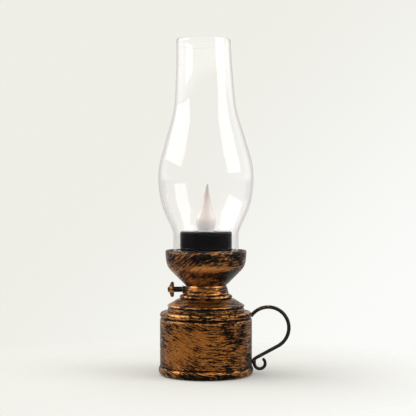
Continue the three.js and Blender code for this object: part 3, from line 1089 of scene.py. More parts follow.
@dataclass(frozen=True)
class PlatedSteel(Finish):
    """Plated steel with drawn marks and a few dull patches.

    Attributes:
        bright: colour of the bright metal.
        dull: colour of the patches.
    """

    bright: Colour = (0.62, 0.62, 0.62)
    dull: Colour = (0.40, 0.40, 0.41)

    def surface(self, graph: Graph) -> Socket:
        """Builds the shader.

        Args:
            graph: the material's graph.

        Returns:
            The shader's socket.
        """
        grain = graph.placed(fine_grain(), Vector=graph.place(), Stretch=(0.4, 0.4, 2.2))
        height = graph.math("ADD", grain["Relief"], grain["Scratch"])
        return graph.principled(
            colour=graph.blend(graph.remap(grain["Smudge"], 0.4, 0.65), self.dull, self.bright),
            metallic=1.0,
            roughness=graph.remap(grain["Smudge"], 0.3, 0.7, 0.42, 0.24),
            normal=graph.bump(height, 0.3, 0.00004),
        )


@dataclass(frozen=True)
class Felt(Finish):
    """Pressed felt: matted fibres, with lint on them.

    Attributes:
        fibre: darkest and palest colour of the fibres.
        fluff: colour of the lint.
    """

    fibre: tuple[Colour, Colour] = ((0.004, 0.004, 0.004), (0.03, 0.028, 0.027))
    fluff: Colour = (0.16, 0.15, 0.14)

    def surface(self, graph: Graph) -> Socket:
        """Builds the shader.

        Args:
            graph: the material's graph.

        Returns:
            The shader's socket.
        """
        place = graph.place()
        fibres = graph.noise(place, scale=1500.0, detail=4.0, rough=0.75)
        mats = graph.noise(place, scale=160.0, detail=3.0, rough=0.6)
        lint = graph.remap(graph.noise(place, scale=700.0, detail=1.0), 0.68, 0.74)
        body = graph.blend(fibres, *self.fibre)
        return graph.principled(
            colour=graph.blend(graph.math("MULTIPLY", lint, 0.5), body, self.fluff),
            roughness=graph.remap(mats, 0.3, 0.7, 0.86, 0.98),
            normal=graph.bump(graph.math("ADD", fibres, mats), 0.8, 0.0003),
            sheen=0.3,
        )


@dataclass(frozen=True)
class Board(Finish):
    """Green circuit board: solder resist over faint copper runs and a glass weave.

    Attributes:
        cloth: darkest and palest colour of the board.
        copper: colour over the runs.
    """

    cloth: tuple[Colour, Colour] = ((0.012, 0.085, 0.035), (0.03, 0.16, 0.07))
    copper: Colour = (0.04, 0.22, 0.09)

    def surface(self, graph: Graph) -> Socket:
        """Builds the shader.

        Args:
            graph: the material's graph.

        Returns:
            The shader's socket.
        """
        place = graph.place()
        brick = {"Vector": place, "Scale": 260.0, "Mortar Size": 0.035, "Mortar": (1, 1, 1, 1)}
        none = {"Color1": (0, 0, 0, 1), "Color2": (0, 0, 0, 1)}
        runs = graph.add("TexBrick", brick | none).outputs["Color"]
        weave = graph.add("TexChecker", {"Vector": place, "Scale": 2400.0}).outputs["Fac"]
        cloth = graph.blend(graph.math("MULTIPLY", weave, 0.12), *self.cloth)
        return graph.principled(
            colour=graph.blend(runs, cloth, self.copper),
            roughness=graph.remap(graph.noise(place, scale=300.0), 0.3, 0.7, 0.28, 0.4),
            normal=graph.bump(runs, 0.4, 0.00004),
        )


FELT = Felt("black_felt", Slot.FELT)
ZINC = PlatedSteel("zinc_steel", Slot.ZINC)
SPRING = PlatedSteel("spring_steel", Slot.SPRING, bright=(0.66, 0.62, 0.52), dull=(0.42, 0.39, 0.33))
WIRE = BlackWire("black_wire", Slot.WIRE)
GLOSS_BLACK = Plastic("gloss_black_plastic", Slot.BLACK, colour=(0.001, 0.001, 0.001), sheen=0.1)
SATIN_BLACK = Plastic(
    "satin_black_plastic", Slot.BLACK, colour=(0.012, 0.012, 0.012), rough=(0.28, 0.42), relief=0.06
)
RESIN = Plastic("clear_resin", Slot.RESIN, colour=(0.72, 0.66, 0.5), rough=(0.05, 0.12), relief=0.02)
BOARD = Board("green_board", Slot.BOARD)
GLASS = ClearGlass("clear_glass", Slot.GLASS)


# ---- Sub-assemblies --------------------------------------------------------------------------------


@dataclass
class Assembly:
    """What every sub-assembly shares.

    Attributes:
        nodes: the CAD nodes of the frame, by name.
        body: the CAD body that its pieces ride on.
    """

    nodes: dict[str, bpy.types.Object]
    body: Body

    def stand_in(self, thing: bpy.types.Object, finish: Finish, *replaced: str) -> None:
        """Dresses a new piece, rides it on the body and hides the nodes that it stands for.

        Args:
            thing: the piece.
            finish: its finish.
            *replaced: names of the CAD nodes that it stands for, if any.
        """
        finish.dress(thing)
        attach(thing, self.body.value)
        if replaced:
            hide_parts(*replaced)
        purpose = ", ".join(replaced) or "detail"
        LOG.info("%s: %d faces, for %s", thing.name, len(thing.data.polygons), purpose)

    def keep(self, finish: Finish, *names: str) -> None:
        """Dresses CAD nodes whose own shape is shown.

        Args:
            finish: their finish.
            *names: the nodes' names.
        """
        for name in names:
            finish.dress(self.nodes[name])
            LOG.info("%s: kept", name)


@dataclass
class Font(Assembly):
    """The drum with its pad, plate and dome.

    Attributes:
        wall: radius of the drum's wall.
        hem: radius of its rolled hem.
        sheet: thickness of its sheet.
        groove: depth of its pressed groove.
        deck_hole: radius of the bolt's hole in its deck.
        soft_edge: how far the pad's edge is worn round.
        dome: the dome's section, above the bottom of its node. All sizes are in millimetres.
    """

    wall: float = 33.8
    hem: float = 34.8
    sheet: float = 1.0
    groove: float = 0.75
    deck_hole: float = 3.2
    soft_edge: float = 0.5
    dome: Points = (
        (28.1, 0.0), (28.1, 2.1), (27.6, 2.7), (27.55, 3.2), (28.2, 3.55), (28.4, 4.0), (28.3, 4.5),
        (27.6, 5.0), (26.1, 5.8), (24.0, 7.1), (21.6, 8.6), (20.2, 9.3), (19.2, 9.55), (13.6, 9.6),
        (13.6, 8.6), (18.7, 8.6), (21.3, 7.6), (25.5, 4.9), (26.9, 3.9), (26.6, 1.9), (27.1, 1.1),
        (27.1, 0.0),
    )

    def build(self) -> None:
        """Makes and dresses the pieces."""
        self.drum()
        self.stepped_dome()
        self.pad()
        self.keep(ZINC, "base_plate", "tie_bolt", "tie_washer", "tie_nut")

    def drum(self) -> None:
        """The pressed drum: rolled hem, wall, groove, rounded shoulder, deck, and the same again inside."""
        place = Place.of("font_shell")
        low, top, wall, hem = place.bottom, place.top, self.wall, self.hem
        inside, below, waist = wall - self.sheet, top - self.sheet, wall - self.groove
        outline = (
            (inside, low), (inside + 0.6, low), (hem - 0.5, low + 0.7), (hem - 0.1, low + 1.6),
            (hem, low + 2.8), (hem, low + 3.8), (hem - 0.12, low + 4.5), (hem - 0.45, low + 5.2),
            (wall + 0.15, low + 5.75),
            (wall, low + 6.5), (wall, top - 5.5), (waist, top - 4.9), (waist, top - 4.1), (wall, top - 3.5),
            (wall, top - 2.1), (wall - 0.25, top - 1.2), (wall - 0.9, top - 0.45), (wall - 2.0, top),
            (self.deck_hole, top), (self.deck_hole, below), (inside - 0.8, below), (inside, top - 1.8),
            (inside, top - 3.2), (inside - self.groove, top - 3.9), (inside - self.groove, top - 5.1),
            (inside, top - 5.8),
        )
        profile = Profile.through(outline).rounded(0.45).filled(2.0)
        finish = BrushedBronze(
            "bronze_drum", Slot.BRONZE, cover=0.513, slope=(0.34, -0.02), span=(-20.0, 4.0), length=8.0,
            width=0.65, sheen=0.03, pale=(0.58, 0.31, 0.11),
            spots=(
                Spot((24.0, -24.0, 26.0), (6.0, 10.0, 2.2), -0.06),
                Spot((19.0, -26.0, 9.5), (14.0, 14.0, 7.0), -0.035),
                Spot((31.0, -12.0, 12.0), (6.0, 14.0, 9.0), -0.04),
                Spot((33.0, -6.0, 24.0), (3.0, 12.0, 26.0), -0.05),
                Spot((-32.0, -8.0, 22.0), (5.0, 12.0, 24.0), -0.025),
                Spot((-9.0, -31.0, 24.0), (15.0, 12.0, 17.0), 0.035),
                Spot((6.0, -34.0, 2.0), (30.0, 16.0, 2.8), -0.07),
                Spot((0.0, 0.0, 44.5), (90.0, 90.0, 0.8), -0.07),
            ),
        )
        self.stand_in(Surface.turned(profile).piece("font_drum"), finish, "font_shell")

    def stepped_dome(self) -> None:
        """The dome: upright band, lip and shallow cone, hollow below."""
        profile = Profile.through(self.dome, lift=Place.of("font_dome").bottom).rounded(0.3).filled(1.6)
        finish = BrushedBronze(
            "bronze_dome", Slot.BRONZE, cover=0.535, length=9.0, width=1.0, build=0.14, thin=0.25,
            bronze=(0.38, 0.143, 0.033),
            spots=(
                Spot((24.0, -12.0, 53.0), (10.0, 14.0, 4.0), -0.03),
                Spot((0.0, 0.0, 47.6), (70.0, 70.0, 2.0), -0.04),
            ),
        )
        self.stand_in(Surface.turned(profile).piece("stepped_dome"), finish, "font_dome")

    def pad(self) -> None:
        """The felt disc, with a soft edge."""
        place, edge = Place.of("base_pad"), self.soft_edge
        radius, top = place.radius, place.top
        outline = (
            (0.0, 0.0), (radius - edge, 0.0), (radius, edge), (radius, top - edge), (radius - edge, top),
            (0.0, top),
        )
        profile = Profile.through(outline, closed=False).rounded(0.3).filled(3.0)
        self.stand_in(Surface.turned(profile).piece("felt_pad"), FELT, "base_pad")


@dataclass
class Neck(Assembly):
    """The collar, the neck sleeve, the cup and its tray.

    Attributes:
        collar: section of the beaded ring. Every section is in millimetres, above the bottom of its node.
        sleeve: section of the tapered neck.
        cup: section of the cup.
        tray: section of the tray in the cup.
        drill: radius of the bush's hole through the neck.
        reach: distances from the axis between which that hole is cut.
    """

    collar: Points = (
        (13.5, 0.0), (18.2, 0.0), (18.8, 0.2), (19.25, 0.65), (19.4, 1.2), (19.25, 1.75), (18.8, 2.2),
        (18.2, 2.5), (17.4, 2.62), (16.9, 2.9), (13.5, 2.9),
    )
    sleeve: Points = (
        (13.6, 0.0), (16.7, 0.0), (16.9, 0.35), (16.6, 1.3), (16.3, 2.6), (16.0, 3.6), (15.4, 5.1),
        (15.0, 6.0), (14.95, 6.3), (13.6, 6.3),
    )
    cup: Points = (
        (8.0, 0.0), (14.7, 0.0), (15.1, 0.3), (16.0, 1.05), (19.0, 4.0), (22.6, 7.6), (25.2, 10.2),
        (26.6, 11.7), (27.6, 13.1), (28.4, 14.7), (29.0, 16.6), (29.35, 18.8), (29.6, 21.0), (29.8, 23.3),
        (29.8, 24.6), (29.6, 25.4), (29.1, 25.85), (28.5, 25.85), (28.0, 25.5), (27.8, 24.7),
        (27.8, 24.0), (26.4, 24.0), (26.4, 23.0), (28.2, 20.8), (27.8, 17.8), (27.1, 15.6), (26.3, 14.0),
        (25.0, 12.2), (16.4, 3.4), (14.2, 1.2), (8.0, 1.2),
    )
    tray: Points = (
        (2.7, 0.0), (6.2, 0.0), (7.4, 3.0), (20.2, 3.0), (21.2, 1.1), (25.5, 1.1), (26.2, 2.4),
        (27.5, 2.4), (27.5, 3.2), (25.6, 3.2), (24.9, 1.9), (21.8, 1.9), (20.9, 3.8), (6.8, 3.8),
        (5.6, 0.8), (2.7, 0.8),
    )
    drill: float = 2.5
    reach: Pair = (8.0, 20.0)

    def build(self) -> None:
        """Makes and dresses the pieces."""
        bead = BrushedBronze(
            "bronze_bead", Slot.BRONZE, cover=0.50, length=8.0, width=0.9, build=0.11, thin=0.2
        )
        collar = self.turned("collar_ring", self.collar, 0.25)
        self.stand_in(collar.piece("beaded_collar"), bead, "collar_ring")
        self.neck_sleeve()
        cup = BrushedBronze(
            "bronze_cup", Slot.BRONZE, cover=0.51, slope=(-0.75, -0.18), span=(-24.0, 8.0), length=7.0,
            width=0.7, sheen=0.12, bronze=(0.44, 0.17, 0.047), pale=(0.88, 0.54, 0.26),
            spots=(
                Spot((0.0, -29.0, 86.0), (17.0, 14.0, 4.6), -0.06),
                Spot((22.0, -20.0, 88.0), (10.0, 16.0, 4.0), -0.05),
                Spot((16.0, -16.0, 74.0), (11.0, 14.0, 6.0), -0.10),
                Spot((2.0, -25.0, 78.4), (24.0, 14.0, 3.2), 0.075),
                Spot((-8.0, -16.0, 69.0), (9.0, 10.0, 3.4), 0.03),
                Spot((-29.0, -4.0, 81.0), (3.0, 10.0, 12.0), -0.03),
                Spot((0.0, 0.0, 91.2), (90.0, 90.0, 1.4), -0.09),
            ),
        )
        self.stand_in(self.turned("gallery_cup", self.cup, 0.35).piece("cup"), cup, "gallery_cup")
        tray = BrushedBronze("bronze_tray", Slot.BRONZE, cover=0.40, length=10.0, width=1.2, sheen=0.5)
        self.stand_in(self.turned("gallery_tray", self.tray, 0.3).piece("tray"), tray, "gallery_tray")

    def turned(self, node: str, outline: Points, corner: float) -> Surface:
        """A closed turned surface standing on the bottom of a node's box.

        Args:
            node: the CAD node.
            outline: (radius, height above the node's bottom) pairs in millimetres.
            corner: how far corners are rounded, in millimetres.

        Returns:
            The surface.
        """
        profile = Profile.through(outline, lift=Place.of(node).bottom).rounded(corner).filled(1.5)
        return Surface.turned(profile)

    def neck_sleeve(self) -> None:
        """The tapered neck, drilled for the bush."""
        sleeve = self.turned("neck_sleeve", self.sleeve, 0.2).piece("neck")
        near, far = self.reach
        hole = ((0.0, near), (self.drill, near), (self.drill, far), (0.0, far))
        drill = Profile.through(hole, closed=False)
        height = Place.of("stem_bush").middle
        tool = Surface.turned(drill, SMALL_ROUND).moved(lambda grid: sideways(grid, height)).piece("drill")
        cut(sleeve, tool)
        finish = BrushedBronze(
            "bronze_neck", Slot.BRONZE, cover=0.512, length=8.0, width=0.9, build=0.12, thin=0.25,
            spots=(
                Spot((12.0, -11.0, 62.0), (5.0, 8.0, 3.6), -0.05),
                Spot((-14.0, -8.0, 62.0), (3.0, 8.0, 5.0), -0.04),
            ),
        )
        self.stand_in(sleeve, finish, "neck_sleeve")


@dataclass
class Handle(Assembly):
    """The bent wire and the braze that joins it to the drum. Sizes are in millimetres, angles in degrees.

    Attributes:
        grip: X and Z of the large loop's middle.
        grip_radius: radius of the large loop.
        grip_angles: where the large loop starts at the drum and ends.
        wire: radius of the wire at its start and at its end.
        taper_from: share of the wire's length after which it grows thinner.
        dent: depth of the bending marks, as a share of the radius.
        bend_x: X of the short bend's outside, beside the drum.
        bend_radius: radius of the short bend.
        curl: X and Z of the small curl's middle.
        curl_radius: radius of the small curl.
        curl_end: angle at which the curl ends.
        steps: points along the wire.
        braze_start: how far the upper braze starts before the large loop.
        braze_end: angle on the large loop where the upper braze ends.
        braze_rise: height of the lower braze above the curl's middle.
        braze_radius: greatest radius of a lump of braze.
    """

    grip: Pair = (45.8, 34.1)
    grip_radius: float = 15.22
    grip_angles: Pair = (137.0, -61.6)
    wire: Pair = (1.35, 1.15)
    taper_from: float = 0.55
    dent: float = 0.03
    bend_x: float = 35.6
    bend_radius: float = 2.6
    curl: Pair = (39.6, 7.9)
    curl_radius: float = 4.0
    curl_end: float = 405.0
    steps: int = 220
    braze_start: float = 5.5
    braze_end: float = 132.0
    braze_rise: float = 2.0
    braze_radius: float = 1.5

    def route(self) -> np.ndarray:
        """Draws the wire's middle line in even steps: large loop, straight run, short bend and small loop.

        Returns:
            The line's points in millimetres, n by 3.
        """
        loop = arc(self.grip, self.grip_radius, *self.grip_angles, 60)
        heading = math.radians(self.grip_angles[1] - 90)
        run = (loop[-1, 0] - self.bend_x) / -math.cos(heading)
        corner = loop[-1, 2] + run * math.sin(heading)
        turn = math.pi / 2 + heading + math.pi
        bend_z = corner - self.bend_radius * math.tan(abs(math.pi - turn) / 2)
        start = 90 + math.degrees(math.pi + heading)
        bend = arc((self.bend_x + self.bend_radius, bend_z), self.bend_radius, start, 180, 12)
        curl = arc(self.curl, self.curl_radius, 180, self.curl_end, 40)
        line = np.vstack([loop, bend, curl])
        travel = np.concatenate([[0], np.cumsum(np.linalg.norm(np.diff(line, axis=0), axis=1))])
        even = np.linspace(0, travel[-1], self.steps)
        return np.stack([np.interp(even, travel, line[:, i]) for i in range(3)], axis=-1)

    def build(self) -> None:
        """Makes the wire, a little thinner towards its end and dented by hand, and the braze."""
        path = self.route()
        share = np.linspace(0, 1, len(path))
        dents = self.dent * np.sin(share * 47) * np.sin(share * 113 + 1)
        late = np.clip((share - self.taper_from) / (1 - self.taper_from), 0, 1)
        taper = self.wire[0] + (self.wire[1] - self.wire[0]) * late
        radii = np.minimum(taper * (1 + dents), self.wire[0])
        self.stand_in(Surface.swept(path, radii).piece("wire_handle"), WIRE, "handle")
        start = self.grip_angles[0] + self.braze_start
        self.braze("braze_top", arc(self.grip, self.grip_radius, start, self.braze_end, 10), Thickest.START)
        away = path[:, 0] > self.bend_x + 1
        contact = np.argmin(np.where(away, np.inf, np.abs(path[:, 2] - (self.curl[1] + self.braze_rise))))
        self.braze("braze_low", path[contact - 5 : contact + 6] - (0.5, 0, 0), Thickest.MIDDLE)

    def braze(self, name: str, path: np.ndarray, thickest: Thickest) -> None:
        """Makes a lump of braze along a short stretch.

        Its radius grows by a cosine of the way along, largest at the start, or by a sine, largest in the middle.

        Args:
            name: the piece's name.
            path: the stretch's points in millimetres.
            thickest: where it is thickest.
        """
        share = np.linspace(0, 1, len(path))
        from_start = thickest is Thickest.START
        swell = np.cos(share * math.pi / 2) if from_start else np.sin(share * math.pi)
        radii = self.wire[1] * 0.9 + (self.braze_radius - self.wire[1]) * swell
        self.stand_in(Surface.swept(path, radii).piece(name), WIRE)


@dataclass
class Knob(Assembly):
    """The wick-style knob: stem, clip, finger wheel and rivet.

    Attributes:
        flutes: hollows round the wheel's rim.
        depth: depth of a hollow, as a share of the radius.
        rim: radii between which the hollows deepen. All sizes are in millimetres.
        wheel: section of the wheel, with its height from its inner face.
        rivet: section of the rivet's head, with its height from its underside.
        stem: section of the stem, with its height from the lamp's axis.
    """

    flutes: int = 12
    depth: float = 0.055
    rim: Pair = (3.6, 5.2)
    wheel: Points = (
        (1.3, 0.0), (4.6, 0.0), (5.3, 0.25), (5.7, 0.8), (5.75, 1.4), (5.6, 2.0), (5.1, 2.45),
        (4.2, 2.75), (3.2, 3.2), (2.5, 3.45), (1.3, 3.5),
    )
    rivet: Points = ((0.0, 0.0), (2.1, 0.0), (2.05, 0.4), (1.7, 0.8), (1.0, 1.08), (0.0, 1.15))
    stem: Points = (
        (0.0, 10.4), (1.5, 10.4), (1.5, 11.9), (1.1, 11.9), (1.1, 12.7), (1.5, 12.7), (1.5, 17.6),
        (2.0, 17.8), (2.0, 23.4), (1.2, 23.4), (1.2, 26.9), (0.0, 26.9),
    )

    def build(self) -> None:
        """Makes and dresses the pieces."""
        back, front = (-Place.of(node).radius for node in ("knob_wheel", "knob_rivet"))
        bronze = BrushedBronze("bronze_knob", Slot.BRONZE, cover=0.49, rubbed=0.0, length=2.4, width=1.0)
        wheel = Surface.turned(Profile.through(self.wheel, lift=back).rounded(0.3).filled(0.5), 96)
        head = Profile.through(self.rivet, closed=False, lift=front).rounded(0.2).filled(0.5)
        rivet = Surface.turned(head, SMALL_ROUND)
        rod = Profile.through(self.stem, closed=False).rounded(0.15).filled(1.0)
        stem = Surface.turned(rod, SMALL_ROUND)
        height = Place.of("knob_stem").middle
        for surface, name, finish, node in (
            (wheel.moved(self.fluted), "finger_wheel", bronze, "knob_wheel"),
            (rivet, "rivet_head", bronze, "knob_rivet"),
            (stem, "knob_spindle", WIRE, "knob_stem"),
        ):
            self.stand_in(surface.moved(lambda grid: sideways(grid, height)).piece(name), finish, node)
        self.keep(SPRING, "stem_clip")
        self.keep(WIRE, "stem_bush")

    def fluted(self, grid: np.ndarray) -> np.ndarray:
        """Presses round hollows into the rim.

        Each radius is drawn in by up to depth, as the square of a raised cosine of the angle times the
        number of flutes, and as the square of the way across the rim.

        Args:
            grid: points in millimetres, turned about Z.

        Returns:
            The moved points.
        """
        radius = np.hypot(grid[..., 0], grid[..., 1])
        angle = np.arctan2(grid[..., 1], grid[..., 0])
        hollow = (0.5 + 0.5 * np.cos(self.flutes * angle)) ** 2
        rim = np.clip((radius - self.rim[0]) / (self.rim[1] - self.rim[0]), 0, 1) ** 2
        factor = 1 - self.depth * hollow * rim
        return grid * np.stack([factor, factor, np.ones_like(factor)], axis=-1)


@dataclass
class Chimney(Assembly):
    """The blown glass chimney.

    Attributes:
        wall: thickness of the glass.
        lean: how far its mouth leans along X.
        lean_from: height where the lean starts.
        lean_power: how late the lean sets in.
        foot: half the height of the rounded foot.
        rim_bulge: size of the fire-polished bead at the mouth, in half walls.
        line: radius and height of the outside, from the foot up. All sizes are in millimetres.
    """

    wall: float = 1.6
    lean: float = -1.9
    lean_from: float = 157.0
    lean_power: float = 1.4
    foot: float = 0.45
    rim_bulge: float = 1.05
    line: Points = (
        (24.0, 0.0), (24.0, 8.0), (24.1, 14.2), (24.9, 17.6), (26.9, 22.0), (29.8, 28.4), (31.9, 34.0),
        (33.6, 41.0), (34.6, 48.5), (34.9, 54.5), (34.6, 61.5), (33.4, 68.5), (31.6, 75.0), (29.6, 82.0),
        (27.3, 90.0), (25.2, 97.0), (23.5, 103.8), (22.4, 109.8), (21.7, 118.0), (21.1, 127.0),
        (20.5, 137.5), (20.1, 148.0), (19.9, 157.0),
    )

    def build(self) -> None:
        """Makes the shell: a smooth line outside, the same less the wall inside, and a rounded rim."""
        place = Place.of("chimney")
        bottom, top = place.bottom, place.top
        outer = spline(self.line, 5) + (0.0, bottom + 0.3)
        outer[:, 1] = np.interp(outer[:, 1], [outer[0, 1], outer[-1, 1]], [bottom + 0.5, top - 0.9])
        bead = self.wall / 2
        bulge = bead * self.rim_bulge
        angle = np.radians(np.linspace(-8, 188, 13))[:, None]
        rim = np.hstack([outer[-1, 0] - bead + bulge * np.cos(angle), top - bulge + bulge * np.sin(angle)])
        rim[:, 0] = np.minimum(rim[:, 0], outer[-1, 0])
        angle = np.radians(np.linspace(180, 360, 9))[1:-1, None]
        height = bottom + self.foot + self.foot * np.sin(angle)
        foot = np.hstack([outer[0, 0] - bead + bead * np.cos(angle), height])
        inner = outer[::-1] - (self.wall, 0.0)
        profile = Profile(np.vstack([outer, rim[1:-1], inner, foot]), True)
        shell = Surface.turned(profile, 160).moved(
            lambda grid: leaned(grid, self.lean_from, top, self.lean, self.lean_power)
        )
        self.stand_in(replace(shell, rub=None).piece("glass_shell"), GLASS, "chimney")


@dataclass
class Candle(Assembly):
    """The battery candle: case, flame, bottom cover, battery door, switch and what is inside.

    Attributes:
        lean: how far the flame's tip leans along X.
        lean_power: how late the lean sets in.
        waist: height where the lean starts, above the foot of the flame's section.
        flange: radius and thickness of the flange that holds the flame under the deck.
        case: section of the case, above the bottom of its node.
        flame_outside: section of the flame's outside, from its foot up to its tip.
        flame_inside: section of its hollow, from the top down. All sizes are in millimetres.
    """

    lean: float = 1.1
    lean_power: float = 1.5
    waist: float = 8.0
    flange: Pair = (7.2, 0.8)
    case: Points = (
        (17.9, 0.0), (19.05, 0.0), (19.1, 1.6), (18.85, 1.75), (18.85, 2.0), (19.1, 2.15), (19.1, 12.6),
        (18.9, 13.4), (18.3, 13.9), (8.4, 13.9), (8.1, 13.6), (5.6, 13.6), (5.6, 12.8), (17.6, 12.8),
        (17.9, 12.4),
    )
    flame_outside: Points = (
        (5.3, 1.0), (5.75, 2.2), (6.4, 3.8), (7.1, 6.1), (7.4, 8.6), (7.2, 11.0), (6.45, 13.5),
        (5.05, 17.6), (3.45, 22.4), (2.15, 27.4), (1.3, 32.0), (0.76, 35.0), (0.36, 35.85), (0.0, 36.1),
    )
    flame_inside: Points = (
        (0.0, 29.2), (0.7, 27.2), (1.8, 22.6), (3.5, 17.4), (5.1, 13.2), (6.2, 8.8), (5.9, 6.1),
        (4.2, 2.5), (4.2, -0.9),
    )

    def build(self) -> None:
        """Makes and dresses the pieces."""
        case = Profile.through(self.case, lift=Place.of("candle_case").bottom).rounded(0.3).filled(2.0)
        self.stand_in(Surface.turned(case).piece("candle_shell"), GLOSS_BLACK, "candle_case")
        self.flame()
        self.keep(SATIN_BLACK, "candle_base", "switch_body")
        self.keep(ZINC, "candle_screw_1", "candle_screw_2", "coin_cell")
        self.keep(SPRING, "contact_negative", "contact_positive")
        self.keep(BOARD, "circuit_board")
        self.keep(RESIN, "candle_led")
        self.keep(SATIN_BLACK, "battery_door", "switch_slider")

    def flame(self) -> None:
        """The flame: a smooth teardrop whose tip leans towards +X, hollow, with a flange below the deck."""
        place = Place.of("candle_flame")
        bottom, tip = place.bottom, place.top
        radius, thick = self.flange
        base = tip - self.flame_outside[-1][1]
        outside = spline(self.flame_outside, 5) + (0.0, base)
        inside = spline(self.flame_inside, 4) + (0.0, base)
        inside[-1, 1] = bottom
        neck = self.flame_outside[0][0]
        flange = np.array([(radius, bottom), (radius, bottom + thick), (neck, bottom + thick)])
        outside[:, 0] = np.maximum(outside[:, 0], 0)
        profile = Profile(np.vstack([inside, flange, outside]), False)
        waist = base + self.waist
        surface = Surface.turned(profile, 96).moved(
            lambda grid: leaned(grid, waist, tip, self.lean, self.lean_power)
        )
        finish = FrostedFlame("frosted_flame", Slot.FLAME, bottom=waist, top=tip + 4)
        self.stand_in(replace(surface, rub=None).piece("flame_diffuser"), finish, "candle_flame")


# ---- Studio ----------------------------------------------------------------------------------------


@dataclass(frozen=True)
class Softbox:
    """A large soft lamp aimed at the object.

    Attributes:
        place: its middle, in metres.
        size: width and height, in metres.
        power: in watts.
    """

    place: Triple
    size: Pair
    power: float

    def build(self, name: str, target: Triple) -> None:
        """Makes the lamp and turns it towards the target.

        Args:
            name: the lamp's name.
            target: the point that it faces, in metres.
        """
        light = bpy.data.lights.new(name, "AREA")
        light.shape = "RECTANGLE"
        light.size, light.size_y = self.size
        light.energy = self.power
        thing = bpy.data.objects.new(name, light)
        thing.location = self.place
        thing.rotation_mode = "QUATERNION"
        thing.rotation_quaternion = (Vector(target) - Vector(self.place)).to_track_quat("-Z", "Y")
        bpy.context.scene.collection.objects.link(thing)


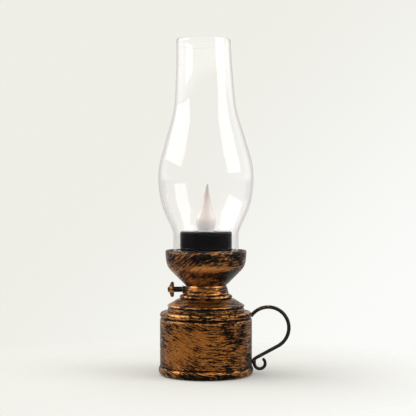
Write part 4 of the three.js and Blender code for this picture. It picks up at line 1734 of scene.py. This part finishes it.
@dataclass
class Studio:
    """The floor, the light and the camera.

    Attributes:
        distance: from the camera to the lamp's axis, in metres.
        frame_width: width of the view at the axis, in metres.
        aim: the point in the middle of the view.
        eye_height: height of the camera, in metres.
        target: the point that the soft lamps face, in metres.
        fade: distances between which the floor fades out, in metres.
        rings: radii of the floor's rings, in millimetres.
        floor_tone: least and greatest share of the pale colour on the floor.
        pale: colour of the room where it is seen directly and, toned down, of the floor.
        paler: colour of the room's lower right where it is seen directly.
        slant: X less Z of a direction, between which pale turns to paler.
        fill: brightness of the room where it lights a dull surface.
        dim: brightness of the far floor in reflections.
        bright: brightness of the walls and ceiling in reflections.
        horizon: Z of a direction, between which dim turns to bright.
        far: colour of the wall behind in reflections.
        behind: Y of a direction, between which the walls turn to the one behind.
        boxes: the soft lamps by name.
    """

    distance: float = 0.83
    frame_width: float = 0.3058
    aim: Triple = (0.0015, 0.0, 0.1222)
    eye_height: float = 0.130
    target: Triple = (0.0, 0.0, 0.12)
    fade: Pair = (0.06, 0.24)
    rings: tuple[float, ...] = (0.0, 60.0, 300.0, 900.0)
    floor_tone: Pair = (0.83, 0.86)
    pale: Colour = (0.862, 0.855, 0.800)
    paler: Colour = (0.965, 0.965, 0.950)
    slant: Pair = (-0.12, 0.3)
    fill: float = 0.78
    dim: float = 0.07
    bright: float = 1.5
    horizon: Pair = (-0.03, 0.04)
    far: Colour = (0.74, 0.705, 0.685)
    behind: Pair = (0.45, 0.9)
    boxes: dict[str, Softbox] = field(default_factory=lambda: {
        "left_box": Softbox((-1.0, 0.1, 0.78), (1.4, 0.7), 9.0),
        "right_box": Softbox((1.0, -0.3, 0.60), (0.8, 0.75), 5.5),
    })

    def camera(self) -> None:
        """A nearly level camera in front of the lamp."""
        drop = self.eye_height - self.aim[2]
        data = bpy.data.cameras.new("camera")
        data.sensor_width = 36.0
        data.lens = data.sensor_width * self.distance / self.frame_width
        data.clip_end = 80.0
        thing = bpy.data.objects.new("camera", data)
        thing.location = (self.aim[0], -self.distance, self.eye_height)
        thing.rotation_euler = (math.pi / 2 - math.atan2(drop, self.distance), 0.0, 0.0)
        bpy.context.scene.collection.objects.link(thing)
        bpy.context.scene.camera = thing

    def ray_masks(self, graph: Graph) -> tuple[Socket, Socket]:
        """Sorts the ways in which the floor and the room are met.

        Args:
            graph: the graph that the masks are made in.

        Returns:
            1 where they are seen directly or through glass, and 1 where they are seen in a reflection.
            Both are 0 where they light a dull surface.
        """
        ray = graph.add("LightPath").outputs
        sharp = graph.math("LESS_THAN", ray["Diffuse Depth"], 0.5)
        straight = graph.math("LESS_THAN", ray["Glossy Depth"], 0.5)
        seen = graph.math("MULTIPLY", sharp, straight)
        return seen, graph.math("SUBTRACT", sharp, seen)

    def floor(self) -> None:
        """A pale floor that fades out a little way off, so that only the lamp's own shadow shows on it."""
        outline = Profile.through(tuple((radius, 0.0) for radius in self.rings), closed=False)
        thing = Surface.turned(outline, 96).piece("floor")
        thing.data.polygons.foreach_set("use_smooth", np.zeros(len(thing.data.polygons), bool))
        material = bpy.data.materials.new("pale_floor")
        graph = Graph.of(material)
        place = graph.place()
        darker, paler = (tuple(value * share for value in self.pale) for share in self.floor_tone)
        colour = graph.blend(graph.noise(place, scale=9.0, detail=3.0), darker, paler)
        shader = graph.principled(colour=colour, roughness=0.9, mirror=0.0)
        clear = graph.add("BsdfTransparent").outputs[0]
        share = graph.remap(graph.length(place), *self.fade)
        faded = graph.add("MixShader", {0: share, 1: shader, 2: clear}).outputs[0]
        graph.add("OutputMaterial", {"Surface": faded})
        thing.data.materials.append(material)

    def room(self) -> None:
        """The room.

        Seen directly it is pale, and paler to the lower right. It lights what it falls on evenly. In
        reflections it has bright walls in front and at the sides, a greyer wall behind, and a dim far
        floor.
        """
        world = bpy.data.worlds.new("room")
        graph = Graph.of(world)
        across, ahead, up = graph.axes(graph.add("TexCoord").outputs["Generated"])
        level = graph.remap(up, *self.horizon, self.dim, self.bright)
        walls = graph.blend(graph.remap(ahead, *self.behind), level, self.far)
        seen, mirrored = self.ray_masks(graph)
        lighting = graph.blend(mirrored, (self.fill, self.fill, self.fill), walls)
        lower_right = graph.remap(graph.math("SUBTRACT", across, up), *self.slant)
        direct = graph.blend(lower_right, self.pale, self.paler)
        back = graph.add("Background", {"Color": graph.blend(seen, lighting, direct), "Strength": 1.0})
        graph.add("OutputWorld", {"Surface": back.outputs[0]})
        bpy.context.scene.world = world

    def build(self) -> None:
        """Sets up the whole studio."""
        self.camera()
        self.floor()
        self.room()
        for name, box in self.boxes.items():
            box.build(name, self.target)
        bpy.context.scene.view_settings.view_transform = "Standard"


def main() -> None:
    """Builds the studio and the sub-assemblies."""
    logging.basicConfig(level=logging.INFO, format="%(name)s: %(message)s")
    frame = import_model()
    nodes = frame["nodes"]
    Studio().build()
    for assembly in (
        Font(nodes, Body.LAMP), Neck(nodes, Body.LAMP), Handle(nodes, Body.LAMP), Knob(nodes, Body.KNOB),
        Chimney(nodes, Body.CHIMNEY), Candle(nodes, Body.CANDLE),
    ):
        assembly.build()


if __name__ == "__main__":
    main()
